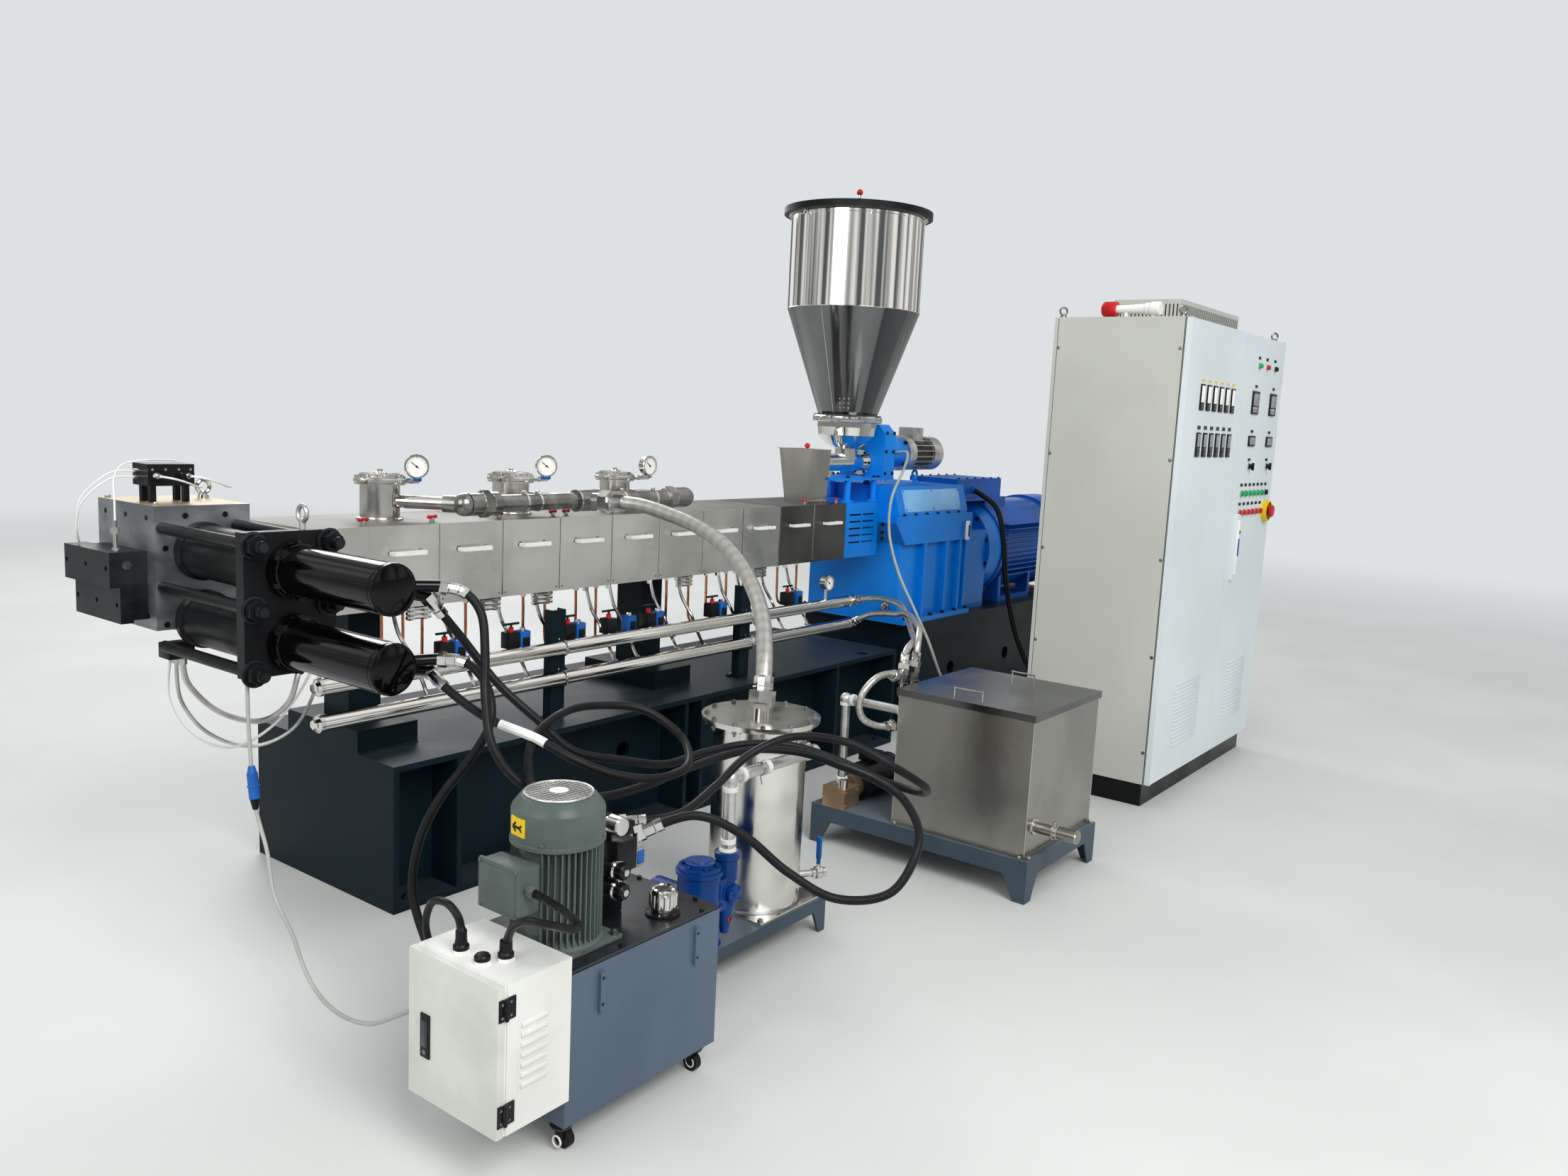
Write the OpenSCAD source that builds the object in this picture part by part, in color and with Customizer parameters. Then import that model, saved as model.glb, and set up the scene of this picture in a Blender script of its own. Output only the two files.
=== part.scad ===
// Twin screw plastic compounding extruder with its hydraulic screen changer, vacuum unit,
// water unit and electrical cabinet. Millimetres, +Z up, floor at z = 0.

/* [Machine] */
// Number of barrel sections under the steel covers
sections = 10; // [6:1:14]
// Length of one barrel section
pitch = 264; // [180:4:320]
// Height of the screw axis above the floor
axis_z = 1066; // [950:2:1150]
// Width of the steel covers over the barrel
cover_w = 400; // [300:10:480]
// Height of the steel covers
cover_h = 268; // [220:4:320]
// Overall width of the base frame
base_w = 780; // [600:10:1000]
// Height of the base frame ledge
base_h = 477; // [380:1:560]
// Height of the drive platform
drive_h = 573; // [500:1:640]

/* [Hopper] */
// Outer diameter of the hopper cylinder
hopper_d = 662; // [500:2:800]
// Height of the hopper cylinder
hopper_h = 450; // [300:10:600]
// Height of the hopper cone
cone_h = 520; // [400:10:640]
// Outer diameter of the round bowl under the hopper
bowl_d = 300; // [200:5:320]

/* [Screen changer] */
// Side of the square screen changer block
block_w = 270; // [220:5:320]
// Height of the screen changer block
block_h = 342; // [280:2:400]
// Diameter of the hydraulic cylinders
cyl_d = 128; // [100:2:160]
// Height distance between the two hydraulic cylinders
cyl_gap = 192; // [170:2:260]

/* [Cabinet] */
// Width of the electrical cabinet
cab_w = 1400; // [1000:50:1800]
// Depth of the electrical cabinet
cab_d = 605; // [400:5:800]
// Height of the cabinet body above its plinth
cab_h = 1990; // [1600:10:2200]

/* [Side units] */
// Diameter of the vacuum catch pot
pot_d = 286; // [220:2:340]
// Height of the vacuum catch pot
pot_h = 580; // [450:5:700]
// Length of the water tank
tank_l = 545; // [450:5:800]
// Width of the water tank
tank_w = 530; // [400:10:700]
// Height of the water tank
tank_h = 500; // [350:10:600]
// Length of the hydraulic oil tank
oil_l = 494; // [400:2:600]
// Height of the hydraulic oil tank
oil_h = 345; // [280:5:420]

/* [Hidden] */
$fn = 48;
// Thickness of the base frame's plates
plate = 20;
// Air between covers and what they sit against
slack = 0.3;
// Place of the frame origin along the machine
org_x = 1500;
// Barrel and base
x_first = 42;
x_covers = x_first + sections * pitch;
barrel_w = 190;
barrel_h = 190;
cover_z = axis_z - cover_h / 2;
cover_top = cover_z + cover_h;
base_l = x_covers + 238;
drive_x = base_l + 220;
drive_l = 2060;
drive_w = 680;
web_y = 245;
web_holes = [1135, 1900];
web_hole_z = 281;
ledge_holes = [1950, x_covers + 18];
lip_holes = [512, 1172];
ped_w = 398;
ped_h = 75;
ped_l = 225;
ped2_x = 1356;
// Gearbox: upper housing, sloped lid, lower housing, lantern with its ring
gear_x = x_covers + 293;
gear_l = 796;
gear_w = 620;
gear_mid = axis_z + 67;
gear_top = axis_z + 211;
gear_neck = 71;
gear_low = axis_z - 81;
lower_in = 101;
lower_l = 664;
rib_t = 24;
ribs = [195, 423, 573, lower_l - rib_t];
lantern_x = gear_x + gear_l;
lantern_l = 440;
lantern_box = 291;
lantern_w = 510;
lantern_h = 445;
motor_x = lantern_x + lantern_l;
motor_z = drive_h + 315;
motor_r = 290;
motor_l = 840;
motor_box_x = motor_x - 436;
motor_box_l = 525;
motor_box_z = motor_z + motor_r + 2;
// Screen changer
head_x = x_first - 200;
block_x1 = head_x - 168;
block_x0 = block_x1 - block_w;
block_top = axis_z + 214;
block_z = block_top - block_h;
block_y = 165;
cyl_x = block_x1 - block_w / 2 - 4;
cyl_hi = axis_z + 86;
cyl_lo = cyl_hi - cyl_gap;
cyl_end = -1050;
die_holes = [-109, 10, 126];
plate_y = -625;
plate_t = 36;
plate_w = 2 * cyl_d;
plate_x0 = cyl_x - plate_w / 2 - 7;
plate_h = cyl_gap + 180;
plate_z = cyl_lo - 80;
rod_w = cyl_d + 82;
rod_h = cyl_gap + 134;
rod_x0 = cyl_x - rod_w / 2 - 6;
rod_z0 = cyl_lo - 66;
// Feeder and hopper
hop_x = gear_x - 30;
hop_y = 0;
feed_z = axis_z + 252;
bowl_z = feed_z + 137;
bowl_h = 165;
cone_z = bowl_z + bowl_h;
shell_z = cone_z + cone_h;
lid_z = shell_z + hopper_h;
fun_x = x_covers - 209;
fun_l = 155;
fun_h = 255;
feed_x = gear_x + 125;
feed_l = 100;
table_x = fun_x + fun_l + 6;
table_l = feed_x + 90 - table_x;
table_w = 290;
screw_z = feed_z + 70;
drive_z = feed_z + 120;
// Door hinges: pin, running clearance, place of the axis in the door corner
pin = 8;
run = 0.05;
hinge_in = 8;
hinge_back = 6;
// Cabinet
cab_x = 2831;
cab_y = -1752;
plinth = 100;
vent_x = 274;
vent_y = 125;
vent_l = 820;
vent_w = 300;
vent_h = 100;
door_t = 24;
door_gap = 3;
split = 762;
grip_x = 75;
grip_z = 935;
grip_h = 315;
// Water unit
wst_x = 1480;
wst_y = -1827;
wst_h = 150;
wst_l = 580;
wst_w = 900;
tank_x = wst_x + 22;
tank_y = wst_y + 24;
drain_x = tank_x + 65;
drain_z = wst_h + 100;
tap_x = [tank_x + 118, tank_x + 198];
tap_y = tank_y + tank_w + 60;
tap_z = wst_h + tank_h + 50;
// Vacuum unit
vst_x = 240;
vst_y = -1440;
vst_h = 112;
vst_l = 610;
vst_w = 330;
pot_x = vst_x + vst_l - pot_d / 2 - 30;
pot_y = vst_y + pot_d / 2 + 15;
pot_side = 30;
vac_x = 320;
vac_y = -1462;
vac_z = 615;
vac_bend = 22;
// Hydraulic unit
oil_x = -500;
oil_y = -1708;
oil_z = 70;
oil_w = 330;
oil_top = oil_z + oil_h + 8;
oil_motor_at = [oil_x + 92, oil_y + 138];
valve_x = oil_x + 230;
valve_y = oil_y + 148;
cap_x = oil_x + 365;
cap_y = oil_y + 68;
box_l = 195;
box_w = 285;
box_h = 323;
box_x = oil_x - box_l;
box_y = oil_y - 13;
box_z = 142;
box_hinges = [box_z + 26, box_z + box_h - 72];
box_top = box_z + box_h;
box_glands = [[box_x + 95, box_y + 91, box_top + 35], [box_x + 56, box_y + 186, box_top + 25],
  [box_x + 53, box_y + 114, box_top + 15]];
// Water mains
main_d = 50;
main_y = -316;
main_x0 = -210;
main_l = 2792;
main_lo = 637;
main_hi = 747;
gauge_x = main_x0 + main_l - 202;
post_x = [722, 1790];
post_w = 65;
post_d = 40;
post_h = 403;
// Vacuum manifold: pipe beside the domes, the way the dome outlets point
pipe_y = -225;
pipe_z = cover_top + 62;
pipe_d = 59;
side_l = 212;
side_turn = -atan2(4, 3);
dome_x = [217, 770, 1304];
steel = "#B9B8B4";
dark = "#33434A";
blue = "#0A66B5";
black = "#15171A";
stone = "#D5D7D0";
bare = "#56544F";
rubber = "#1B1D20";
braid = "#A8A8A4";
// Hoses and cables: routes through points along the middle line, fitted between their two ends
hose_d = 22;
water_d = 25;
vacuum_d = 52;
hose_up = fitted([[-330, -1050, 1150], [-285, -1085, 1135], [-270, -1130, 1085], [-290, -1170, 1000],
  [-320, -1210, 895], [-340, -1265, 790], [-303, -1323, 707], [-221, -1376, 664],
  [-110, -1410, 650], [30, -1420, 650], [160, -1420, 660], [300, -1430, 670],
  [440, -1450, 670], [510, -1560, 670], [510, -1700, 660], [470, -1840, 660],
  [420, -1960, 640], [340, -2050, 580], [260, -2030, 470], [170, -1930, 450],
  [100, -1830, 510], [30, -1740, 600], [-60, -1660, 650], [-150, -1566, 603]],
  [cyl_x + 135, cyl_end, cyl_hi - 2], [valve_x + 120, valve_y - 6, oil_top + 180]);
hose_up_back = fitted([[-340, -1012, 1120], [-260, -1045, 1010], [-205, -1115, 900], [-145, -1200, 810],
  [-80, -1270, 730], [50, -1320, 690], [180, -1350, 660], [310, -1370, 670],
  [440, -1420, 680], [550, -1500, 670], [640, -1600, 630], [680, -1730, 590],
  [660, -1860, 590], [570, -1930, 640], [460, -1900, 710], [390, -1790, 770],
  [330, -1660, 770], [220, -1600, 730], [100, -1590, 670], [-40, -1590, 630],
  [-150, -1505, 615]],
  [cyl_x + 125, cyl_end + 38, cyl_hi - 32], [valve_x + 120, valve_y + 55, oil_top + 192]);
hose_low = fitted([[-330, -1050, 968], [-292, -1104, 961], [-287, -1175, 915], [-310, -1218, 836],
  [-330, -1170, 740], [-380, -1120, 640], [-410, -1080, 530], [-430, -1080, 410],
  [-430, -1130, 300], [-430, -1210, 220], [-430, -1300, 165], [-430, -1378, 150]],
  [cyl_x + 135, cyl_end, cyl_lo + 8], [oil_x + 70, oil_y + oil_w, oil_z + 80]);
hose_low_back = fitted([[-340, -1012, 936], [-322, -1088, 886], [-279, -1174, 831], [-228, -1286, 796],
  [-180, -1380, 750], [-100, -1450, 710], [10, -1490, 690], [120, -1480, 700],
  [200, -1380, 740], [160, -1280, 800], [44, -1228, 822], [-88, -1236, 827],
  [-212, -1265, 789], [-301, -1354, 726], [-298, -1430, 628], [-250, -1470, 530]],
  [cyl_x + 125, cyl_end + 38, cyl_lo - 24], [valve_x + 20, valve_y + 90, oil_top + 107]);
vacuum_route = fitted([[958, -287, 1262], [1000, -430, 1260], [1020, -570, 1235], [1020, -700, 1205],
  [1000, -830, 1160], [960, -950, 1100], [900, -1060, 1030], [820, -1160, 960],
  [740, -1235, 880], [690, -1275, 800], [677, -1282, 742]],
  [dome_x[1] + 188, pipe_y - 62, pipe_z], [pot_x, pot_y, vst_h + pot_h + 50]);
water_up = fitted([[2611, -316, 747], [2620, -430, 770], [2572, -556, 777], [2481, -672, 774],
  [2370, -772, 740], [2236, -871, 723], [2100, -970, 710], [1970, -1050, 720],
  [1858, -1110, 748], [1742, -1172, 777], [1645, -1203, 757], [1620, -1213, 700]],
  [main_x0 + main_l + 29, main_y, main_hi], [tap_x[0], tap_y, tap_z]);
water_low = fitted([[2611, -316, 637], [2600, -420, 690], [2532, -545, 721], [2435, -675, 745],
  [2334, -776, 775], [2236, -868, 782], [2140, -945, 780], [2020, -1030, 785],
  [1910, -1100, 805], [1792, -1170, 822], [1718, -1210, 782], [1700, -1213, 700]],
  [main_x0 + main_l + 29, main_y, main_lo], [tap_x[1], tap_y, tap_z]);
water_back = fitted([[1560, -1213, 680], [1500, -1215, 695], [1430, -1215, 690], [1380, -1200, 650],
  [1365, -1190, 595], [1385, -1200, 545], [1440, -1225, 515], [1502, -1250, 510]],
  [tank_x + 58, tap_y, tap_z - 20], [tank_x, tank_y + tank_w + 23, wst_h + 360]);
conduit_route = fitted([[-545, -1648, 598], [-540, -1690, 590], [-530, -1730, 575], [-530, -1765, 560],
  [-560, -1785, 565], [-600, -1765, 580], [-620, -1715, 580], [-612, -1665, 550],
  [-600, -1630, 500]],
  [oil_x - 45, oil_y + 60, oil_top + 175], box_glands[0]);
conduit_d = 18;
sensor_route = fitted([[-585, -607, 880], [-590, -620, 770], [-590, -630, 660], [-590, -650, 550],
  [-590, -700, 450], [-600, -750, 350], [-600, -830, 270], [-620, -920, 210],
  [-640, -1030, 180], [-650, -1140, 180], [-660, -1250, 210], [-660, -1340, 260],
  [-660, -1436, 320]],
  [plate_x0 + 15, plate_y + plate_t / 2, plate_z], [box_x + 35, box_y + box_w, box_z + 178]);
sensor_d = 10;
feeder_route = fitted([[3250, -100, 1438], [3170, -230, 1450], [3030, -300, 1370], [2900, -320, 1230],
  [2850, -350, 1060], [2840, -420, 880], [2850, -510, 720], [2870, -590, 570],
  [2960, -600, 430], [3090, -560, 340], [3240, -510, 260], [3380, -500, 160],
  [3450, -610, 60], [3480, -780, 16], [3480, -970, 14], [3480, -1147, 60]],
  [feed_x + 150, -100, drive_z], [cab_x + 649, cab_y + cab_d, 60]);
feeder_d = 14;
motor_route = fitted([[3960, -215, 1240], [3955, -360, 1150], [3950, -420, 970], [3940, -450, 790],
  [3950, -490, 600], [3950, -550, 430], [3960, -640, 270], [3960, -780, 150],
  [3970, -960, 120], [3970, -1147, 160]],
  [motor_box_x + 185, -215, motor_box_z + 60], [cab_x + 1139, cab_y + cab_d, 160]);
motor_d = 30;

module at(x, y, z) {
  translate([x - org_x, y, z])
    children();
}

module block(x, y, z, l, w, h) {
  at(x, y, z)
    cube([l, w, h]);
}

module rod_x(x, y, z, d, l) {
  at(x, y, z)
    rotate([0, 90, 0])
      cylinder(d = d, h = l);
}

module rod_y(x, y, z, d, l) {
  at(x, y, z)
    rotate([-90, 0, 0])
      cylinder(d = d, h = l);
}

module rod_z(x, y, z, d, l) {
  at(x, y, z)
    cylinder(d = d, h = l);
}

// Rod between two points of the machine
module link(a, b, d) {
  v = b - a;
  at(a[0], a[1], a[2])
    rotate([0, acos(v[2] / norm(v)), atan2(v[1], v[0])])
      cylinder(d = d, h = norm(v));
}

// Hexagon nut or union along x, seen across its corners
module hex_x(x, y, z, d, l) {
  at(x, y, z)
    rotate([0, 90, 0])
      cylinder(d = d, h = l, $fn = 6);
}

// Round tube along a route: a smooth curve through its points, a ring of corners carried along
function unit(v) = v / norm(v);
function blend(a, b, c, d, t) =
  b + (c - a) * t / 2 + (2 * a - 5 * b + 4 * c - d) * t * t / 2
  + (3 * b - a - 3 * c + d) * t * t * t / 2;
function fitted(p, a, b) = [for (i = [0 : len(p) - 1])
  let (t = i / (len(p) - 1)) p[i] + (a - p[0]) * (1 - t) + (b - p[len(p) - 1]) * t];
function curve(p, n) = concat(
  [for (i = [0 : len(p) - 2])
    for (k = [0 : n - 1])
      blend(p[max(i - 1, 0)], p[i], p[i + 1], p[min(i + 2, len(p) - 1)], k / n)],
  [p[len(p) - 1]]);
function headings(c) = [for (i = [0 : len(c) - 1])
  unit(c[min(i + 1, len(c) - 1)] - c[max(i - 1, 0)])];
function carried(t, u) = len(u) == len(t) ? u :
  carried(t, concat(u, [unit(u[len(u) - 1] - t[len(u)] * (u[len(u) - 1] * t[len(u)]))]));

module tube(route, d, steps = 3) {
  sides = 8;
  c = curve(route, steps);
  t = headings(c);
  u = carried(t, [unit(cross(t[0], [0.31, 0.17, 0.93]))]);
  last = (len(c) - 1) * sides;
  at(0, 0, 0)
    polyhedron(
      points = [for (i = [0 : len(c) - 1])
        for (k = [0 : sides - 1])
          c[i] + d / 2 * (cos(k * 360 / sides) * u[i] + sin(k * 360 / sides) * cross(t[i], u[i]))],
      faces = concat(
        [[for (k = [0 : sides - 1]) k]],
        [[for (k = [sides - 1 : -1 : 0]) last + k]],
        [for (i = [0 : sides : last - 1])
          for (k = [0 : sides - 1])
            [i + k, i + sides + k, i + sides + (k + 1) % sides]],
        [for (i = [0 : sides : last - 1])
          for (k = [0 : sides - 1])
            [i + k, i + sides + (k + 1) % sides, i + (k + 1) % sides]]));
}

// Welded base: ledge plate, bottom plate, webs set back behind the ledge, ribs and end plates.
module base_frame() {
  w = base_w;
  seat_l = 120;
  seat_w = 140;
  tie_w = 400;
  tie_h = 180;
  color(dark)
    difference() {
      union() {
        block(0, -w / 2, base_h - plate, base_l, w, plate);
        block(0, -w / 2, 0, base_l, w, plate);
        for (s = [-1, 1])
          block(0, s * web_y - plate / 2, plate - 1, base_l, plate, base_h - 2 * plate + 2);
        block(0, -w / 2, 0, plate, w, base_h);
        block(base_l - plate, -w / 2, 0, plate, w, base_h);
        for (x = [240, 1343, 1442, 2400])
          block(x, -w / 2, plate - 1, plate, w, base_h - 2 * plate + 2);
        for (x = [0, ped2_x])
          block(x, -ped_w / 2, base_h - 1, ped_l, ped_w, ped_h + 1);
        for (x = [ped_l / 2, ped2_x + ped_l / 2])
          block(x - seat_l / 2, -seat_w / 2, base_h + ped_h - 1, seat_l, seat_w,
            axis_z - barrel_h / 2 - base_h - ped_h + 1);
        block(base_l - 1, -tie_w / 2, 0, drive_x - base_l + 1, tie_w, tie_h);
      }
      for (x = web_holes)
        rod_y(x, -w / 2, web_hole_z, 70, w);
      for (x = ledge_holes)
        rod_z(x, -w / 2 + 60, base_h - plate - 1, 60, plate + 2);
    }
}

// Platform under the gearbox and the motor: channel lip on top, lower faces set back.
module drive_platform() {
  lip = 100;
  inset = 40;
  color(dark)
    difference() {
      union() {
        block(drive_x, -drive_w / 2, drive_h - lip, drive_l, drive_w, lip);
        block(drive_x, -drive_w / 2 + inset, 0, drive_l, drive_w - 2 * inset, drive_h - lip + 1);
        block(drive_x, -drive_w / 2, 0, drive_l, drive_w, plate);
      }
      for (dx = lip_holes)
        rod_y(drive_x + dx, -drive_w / 2, web_hole_z - 10, 75, drive_w);
    }
}

// Row of barrel sections with bolted flanges between them.
module barrel() {
  z0 = axis_z - barrel_h / 2;
  color(bare)
    union() {
      block(head_x, -barrel_w / 2, z0, gear_x - head_x, barrel_w, barrel_h);
      for (i = [0 : sections])
        block(x_first + i * pitch - 20, -barrel_w / 2 - 20, z0, 40, barrel_w + 40, cover_top - 3 - z0);
    }
}

module grip(x, y, z, l) {
  at(x, y, z) {
    for (dx = [0, l - 10])
      translate([dx, -28, 0])
        cube([10, 29, 12]);
    translate([0, -34, 0])
      cube([l, 8, 14]);
  }
}

// Steel covers: one box per section, joints shown as narrow grooves, a handle on each.
module barrel_covers() {
  color(steel)
    difference() {
      union() {
        block(x_first, -cover_w / 2, cover_z, x_covers - x_first, cover_w, cover_h);
        for (i = [0 : sections - 1])
          grip(x_first + (i + 0.5) * pitch - 60, -cover_w / 2, cover_top - 94, 120);
      }
      block(x_first - 1, -cover_w / 2 + 3, cover_z - 1, x_covers - x_first + 2, cover_w - 6, cover_h - 2);
      for (i = [1 : sections - 1])
        block(x_first + i * pitch - 1, -cover_w / 2 - 1, cover_z - 1, 2, 3, cover_h + 2);
      for (i = [1 : sections - 1])
        block(x_first + i * pitch - 1, -cover_w / 2 - 1, cover_top - 2, 2, cover_w + 2, 3);
    }
}

module head_cover() {
  x0 = head_x + 2;
  l = x_first - x0 - slack;
  color(steel)
    difference() {
      block(x0, -cover_w / 2, cover_z, l, cover_w, cover_h);
      block(x0 + 3, -cover_w / 2 + 3, cover_z - 1, l, cover_w - 6, cover_h - 2);
      block(x0 - 1, -barrel_w / 2 - slack, cover_z - 1, 6, barrel_w + 2 * slack,
        axis_z + barrel_h / 2 + slack - cover_z + 1);
    }
}

// Thick square block with the melt channel and the two slide bores.
module screen_changer() {
  color(bare)
    difference() {
      union() {
        block(block_x0, -block_y, block_z, block_w, 2 * block_y, block_h);
        block(block_x1 - 1, -110, axis_z - 110, head_x - block_x1 + 1, 220, 220);
      }
      for (z = [cyl_lo, cyl_hi])
        rod_y(cyl_x, -block_y - 1, z, cyl_d - 8, 2 * block_y + 2);
    }
}

// Strand die: wide upper jaw, narrower lower jaw set back, a row of strand holes in each.
module strand_die() {
  x0 = block_x0 - 104;
  w = 270;
  mid = axis_z - 6;
  color(bare)
    difference() {
      union() {
        block(x0 + 58, -120, axis_z - 100, 46, 240, 188);
        block(x0, -130, mid, 60, w, 96);
        block(x0 + 26, -130, axis_z - 106, 34, w, 102);
      }
      for (y = die_holes) {
        rod_x(x0 - 1, y, mid + 52, 14, 40);
        rod_x(x0 + 25, y, mid - 50, 14, 24);
      }
    }
}

// Plate that carries the cylinders, tie rods to the block with their nuts, lifting eye.
module cylinder_plate() {
  eye_x = cyl_x + 36;
  top = plate_z + plate_h;
  color(black)
    difference() {
      union() {
        block(plate_x0, plate_y, plate_z, plate_w, plate_t, plate_h);
        for (x = [rod_x0, rod_x0 + rod_w])
          for (z = [rod_z0, rod_z0 + rod_h / 2, rod_z0 + rod_h]) {
            rod_y(x, plate_y - 52, z, 32, -block_y - plate_y + 52);
            rod_y(x, plate_y - 5, z, 62, 6);
            at(x, plate_y - 30, z)
              rotate([-90, 30, 0])
                cylinder(d = 56, h = 26, $fn = 6);
          }
        rod_z(eye_x, plate_y + plate_t / 2, top - 2, 16, 26);
        at(eye_x, plate_y + plate_t / 2, top + 42)
          rotate([0, 90, 0])
            rotate_extrude()
              translate([20, 0, 0])
                circle(d = 12);
      }
      for (z = [cyl_lo, cyl_hi])
        rod_y(cyl_x, plate_y - 1, z, cyl_d - 20 + 2 * slack, plate_t + 2);
    }
}

// Hydraulic cylinder with a mounting flange and two hose unions; the slide bar runs on
// through the block.
module jack(z, union_a, union_b) {
  inward = 90;
  color(black)
    union() {
      rod_y(cyl_x, cyl_end, z, cyl_d, plate_y - cyl_end);
      rod_y(cyl_x, plate_y - 24, z, cyl_d + 26, 24);
      rod_y(cyl_x, plate_y - 34, z, cyl_d + 10, 11);
      rod_y(cyl_x, plate_y - 1, z, cyl_d - 20, block_y - plate_y + 20);
      link([cyl_x, union_a[1] + inward, z], union_a, 30);
      link([cyl_x, union_b[1], z], union_b, 30);
    }
}

module cylinder_upper() {
  jack(cyl_hi, hose_up[0], hose_up_back[0]);
}

module cylinder_lower() {
  jack(cyl_lo, hose_low[0], hose_low_back[0]);
}

// Black valve box on four studs on top of the block, two unions on its near face.
module changer_valve() {
  x0 = block_x0 + 36;
  l = 129;
  lift = 46;
  color(black)
    union() {
      block(x0, -60, block_top + lift, l, 90, 61);
      for (dx = [10, l - 26])
        for (y = [-50, 0])
          block(x0 + dx, y, block_top, 16, 16, lift + 1);
      for (dx = [35, l - 35])
        rod_y(x0 + dx, -78, block_top + lift + 28, 24, 19);
    }
}

// Vent dome: pipe stub on the cover, clamp ring and lid, outlet pipe, gauge on an arm.
module vent_dome(x, r, reach, turn) {
  z0 = cover_top;
  h = 118;
  gauge_y = -35;
  color(steel)
    union() {
      rod_z(x, 0, z0, 2 * r, h);
      rod_z(x, 0, z0 + h - 1, 2 * r + 34, 26);
      rod_z(x, 0, z0 + h + 24, 2 * r, 10);
      at(x, 0, pipe_z)
        rotate([0, 90, side_turn])
          cylinder(d = 44, h = side_l);
      block(x + r - 10, gauge_y - 7, z0 + h + 2, reach - r + 17, 14, 14);
      rod_z(x + reach, gauge_y, z0 + h + 3, 13, 40);
      at(x + reach, gauge_y, z0 + h + 59)
        rotate([90, 0, turn])
          translate([0, 0, -14])
            cylinder(d = 66, h = 28);
    }
}

module vent_dome_1() {
  vent_dome(dome_x[0], 64, 115, -27);
}

module vent_dome_2() {
  vent_dome(dome_x[1], 66, 134, -27);
}

module vent_dome_3() {
  vent_dome(dome_x[2], 60, 147, 0);
}

// Vacuum pipe that joins the three domes: elbow, unions, the branch to the hose, end cap.
module vacuum_manifold() {
  side = [3, -4] / 5;
  full = pipe_y / side[1];
  x = [for (d = dome_x) d + full * side[0]];
  start = vacuum_route[0];
  color(steel)
    union() {
      rod_x(x[0], pipe_y, pipe_z, pipe_d, x[2] - x[0]);
      for (d = dome_x)
        at(d + side_l * side[0], side_l * side[1], pipe_z)
          rotate([0, 90, side_turn])
            cylinder(d = 58, h = full - side_l);
      for (i = [0, 2])
        at(x[i], pipe_y, pipe_z)
          sphere(d = pipe_d + 20);
      rod_x(x[0], pipe_y, pipe_z, pipe_d + 18, 64);
      hex_x(x[0] + 64, pipe_y, pipe_z, pipe_d + 34, 34);
      rod_x(x[0] + 98, pipe_y, pipe_z, pipe_d + 22, 34);
      rod_x(x[1] - 60, pipe_y, pipe_z, pipe_d + 20, 100);
      hex_x(x[2] - 108, pipe_y, pipe_z, pipe_d + 32, 36);
      rod_x(x[2] - 72, pipe_y, pipe_z, pipe_d + 20, 72);
      link([x[1], pipe_y, pipe_z], start, vacuum_d + 8);
    }
}

// Sheet feed funnel standing on the covers, wider at the top, a ball knob on its lid.
module feed_funnel() {
  t = 3;
  lean = [[-115, 0], [20, 0], [65, fun_h], [-131, fun_h]];
  bore = [[-115 + t, -1], [20 - t, -1], [65 - t, fun_h - t], [-131 + t, fun_h - t]];
  color(steel)
    difference() {
      union() {
        at(fun_x, 0, cover_top)
          rotate([90, 0, 90])
            linear_extrude(fun_l)
              polygon(lean);
        block(fun_x - 4, -135, cover_top + fun_h - 3, fun_l + 8, 204, 3);
        rod_z(fun_x + 110, -20, cover_top + fun_h - 1, 8, 6);
        at(fun_x + 110, -20, cover_top + fun_h + 14)
          sphere(d = 27);
      }
      at(fun_x + t, 0, cover_top)
        rotate([90, 0, 90])
          linear_extrude(fun_l - 2 * t)
            polygon(bore);
      rod_x(fun_x + fun_l - t - 1, 0, screw_z, 82, t + 2);
    }
}

// Feeder table on four round posts over the guard and the neck of the gearbox.
module feeder_stand() {
  t = 12;
  color(blue)
    union() {
      block(table_x, -table_w / 2, feed_z - t, table_l, table_w, t);
      for (x = [table_x + 156, gear_x + 52])
        for (s = [-1, 1])
          rod_z(x, s * (table_w / 2 - 17), cover_top, 34, feed_z - cover_top - t + 1);
    }
}

// Feeder gearbox: upright housing with cut top corners, in-line reducer and its flange.
module feeder_gearbox() {
  h = bowl_z + bowl_h - 33 - feed_z;
  cut = 45;
  y = 135;
  color(blue)
    union() {
      at(feed_x, 0, feed_z)
        rotate([90, 0, 90])
          linear_extrude(feed_l)
            polygon([[-y, 0], [y, 0], [y, h - cut], [y - cut, h], [cut - y, h], [-y, h - cut]]);
      rod_x(feed_x + feed_l - 1, 0, drive_z, 150, 231);
      rod_y(feeder_route[0][0], feeder_route[0][1], drive_z, 24, 60);
    }
}

// Feeder motor: flange, finned body, fan cap and terminal box.
module feeder_motor() {
  x0 = feed_x + feed_l + 230;
  color(steel)
    union() {
      rod_x(x0, 0, drive_z, 190, 70);
      rod_x(x0 + 69, 0, drive_z, 150, 201);
      for (a = [0 : 20 : 340])
        at(x0 + 69, 0, drive_z)
          rotate([a, 0, 0])
            translate([0, -2, 60])
              cube([201, 4, 32]);
      rod_x(x0 + 269, 0, drive_z, 184, 90);
      block(x0 + 90, -45, drive_z + 70, 110, 90, 70);
    }
}

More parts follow.
